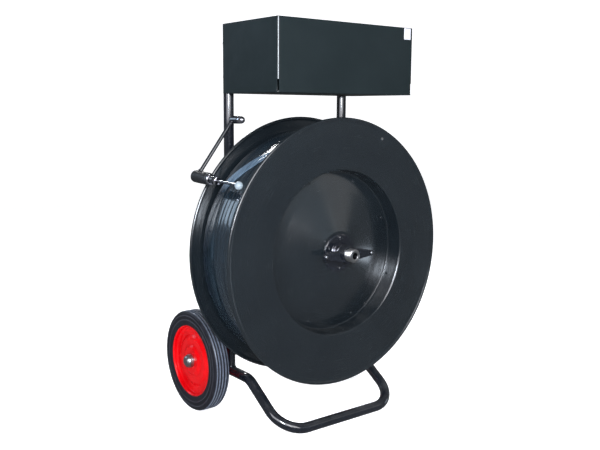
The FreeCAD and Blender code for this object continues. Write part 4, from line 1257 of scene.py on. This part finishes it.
studio_piece("studio_floor", [(0.02, 0.0), (0.6, 0.0), (1.5, 0.0), (3.0, 0.0), (4.6, 0.0)])
bend = [(4.6 + 2.2 * sin(radians(a)), 2.2 - 2.2 * cos(radians(a))) for a in range(0, 91, 6)]
studio_wall = studio_piece("studio_wall", bend + [(6.8, 8.0)])
studio_wall.visible_diffuse = False


def softbox(name, azimuth, elevation, distance, width, height, power, tone=(1.0, 1.0, 1.0)):
    """Area light at an azimuth from the front (negative is to the left), facing the trolley."""
    a, e = radians(azimuth), radians(elevation)
    aim = Vector((0, -0.05, 0.45))
    way = Vector((sin(a) * cos(e), -cos(a) * cos(e), sin(e)))
    light = bpy.data.lights.new(name, "AREA")
    light.shape = "RECTANGLE"
    light.size = width
    light.size_y = height
    light.energy = power
    light.color = tone
    holder = placed(name, light)
    holder.location = aim + way * distance
    holder.rotation_mode = "QUATERNION"
    holder.rotation_quaternion = way.to_track_quat("Z", "Y")
    return holder


softbox("front_left_panel", -66, 19, 3.2, 1.9, 1.7, 52, tone=(0.93, 0.93, 1.0))
softbox("front_panel", -32, 19, 3.2, 1.9, 1.7, 65, tone=(0.94, 0.94, 1.0))
softbox("front_right_panel", -6, 20, 3.2, 1.4, 1.7, 46, tone=(0.96, 0.96, 1.0))
softbox("camera_lamp", -38, 16, 2.1, 0.36, 0.5, 44, tone=(0.8, 0.89, 1.0))
top_box = softbox("top_box", 0, 88, 2.9, 3.4, 3.4, 50)
top_box.visible_glossy = False
softbox("right_soft_panel", 22, 12, 3.3, 1.5, 1.0, 2.0, tone=(0.75, 0.9, 1.0))
softbox("right_fill", 43, 14, 3.4, 1.2, 0.7, 1.6, tone=(1.0, 0.98, 0.95))
softbox("right_floor_glow", 68, -14, 1.6, 0.36, 0.16, 0.8, tone=(0.75, 0.86, 1.0))
softbox("back_box", 168, 36, 3.2, 0.5, 0.2, 22)
softbox("back_left_panel", -147, 20, 3.2, 0.8, 1.1, 10, tone=(0.62, 0.8, 1.0))

world = bpy.data.worlds.new("studio_air")
bpy.context.scene.world = world
world.use_nodes = True
backdrop = world.node_tree.nodes["Background"]
backdrop.inputs["Color"].default_value = (0.92, 0.96, 1.0, 1.0)
backdrop.inputs["Strength"].default_value = 0.18

lens = bpy.data.cameras.new("photo_view")
lens.lens = 46.893  # mm, fitted with the spot and the three angles to measured outlines
lens.sensor_width = 36.0
lens.clip_start = 0.05
lens.clip_end = 60.0
camera = placed("photo_view", lens)
CAMERA_SPOT = (-1.217025, -1.585295, 0.760732)
YAW, PITCH, ROLL = 0.6594567, -0.1452955, 0.0062229
forward = Vector((sin(YAW) * cos(PITCH), cos(YAW) * cos(PITCH), sin(PITCH)))
level = Vector((cos(YAW), -sin(YAW), 0.0))
lifted = level.cross(forward)
right = level * cos(ROLL) + lifted * sin(ROLL)
above = lifted * cos(ROLL) - level * sin(ROLL)
turn = Matrix((right, above, -forward)).transposed()
camera.matrix_world = Matrix.Translation(CAMERA_SPOT) @ turn.to_4x4()
bpy.context.scene.camera = camera
bpy.context.scene.view_settings.view_transform = "Standard"
bpy.context.scene.view_settings.look = "None"
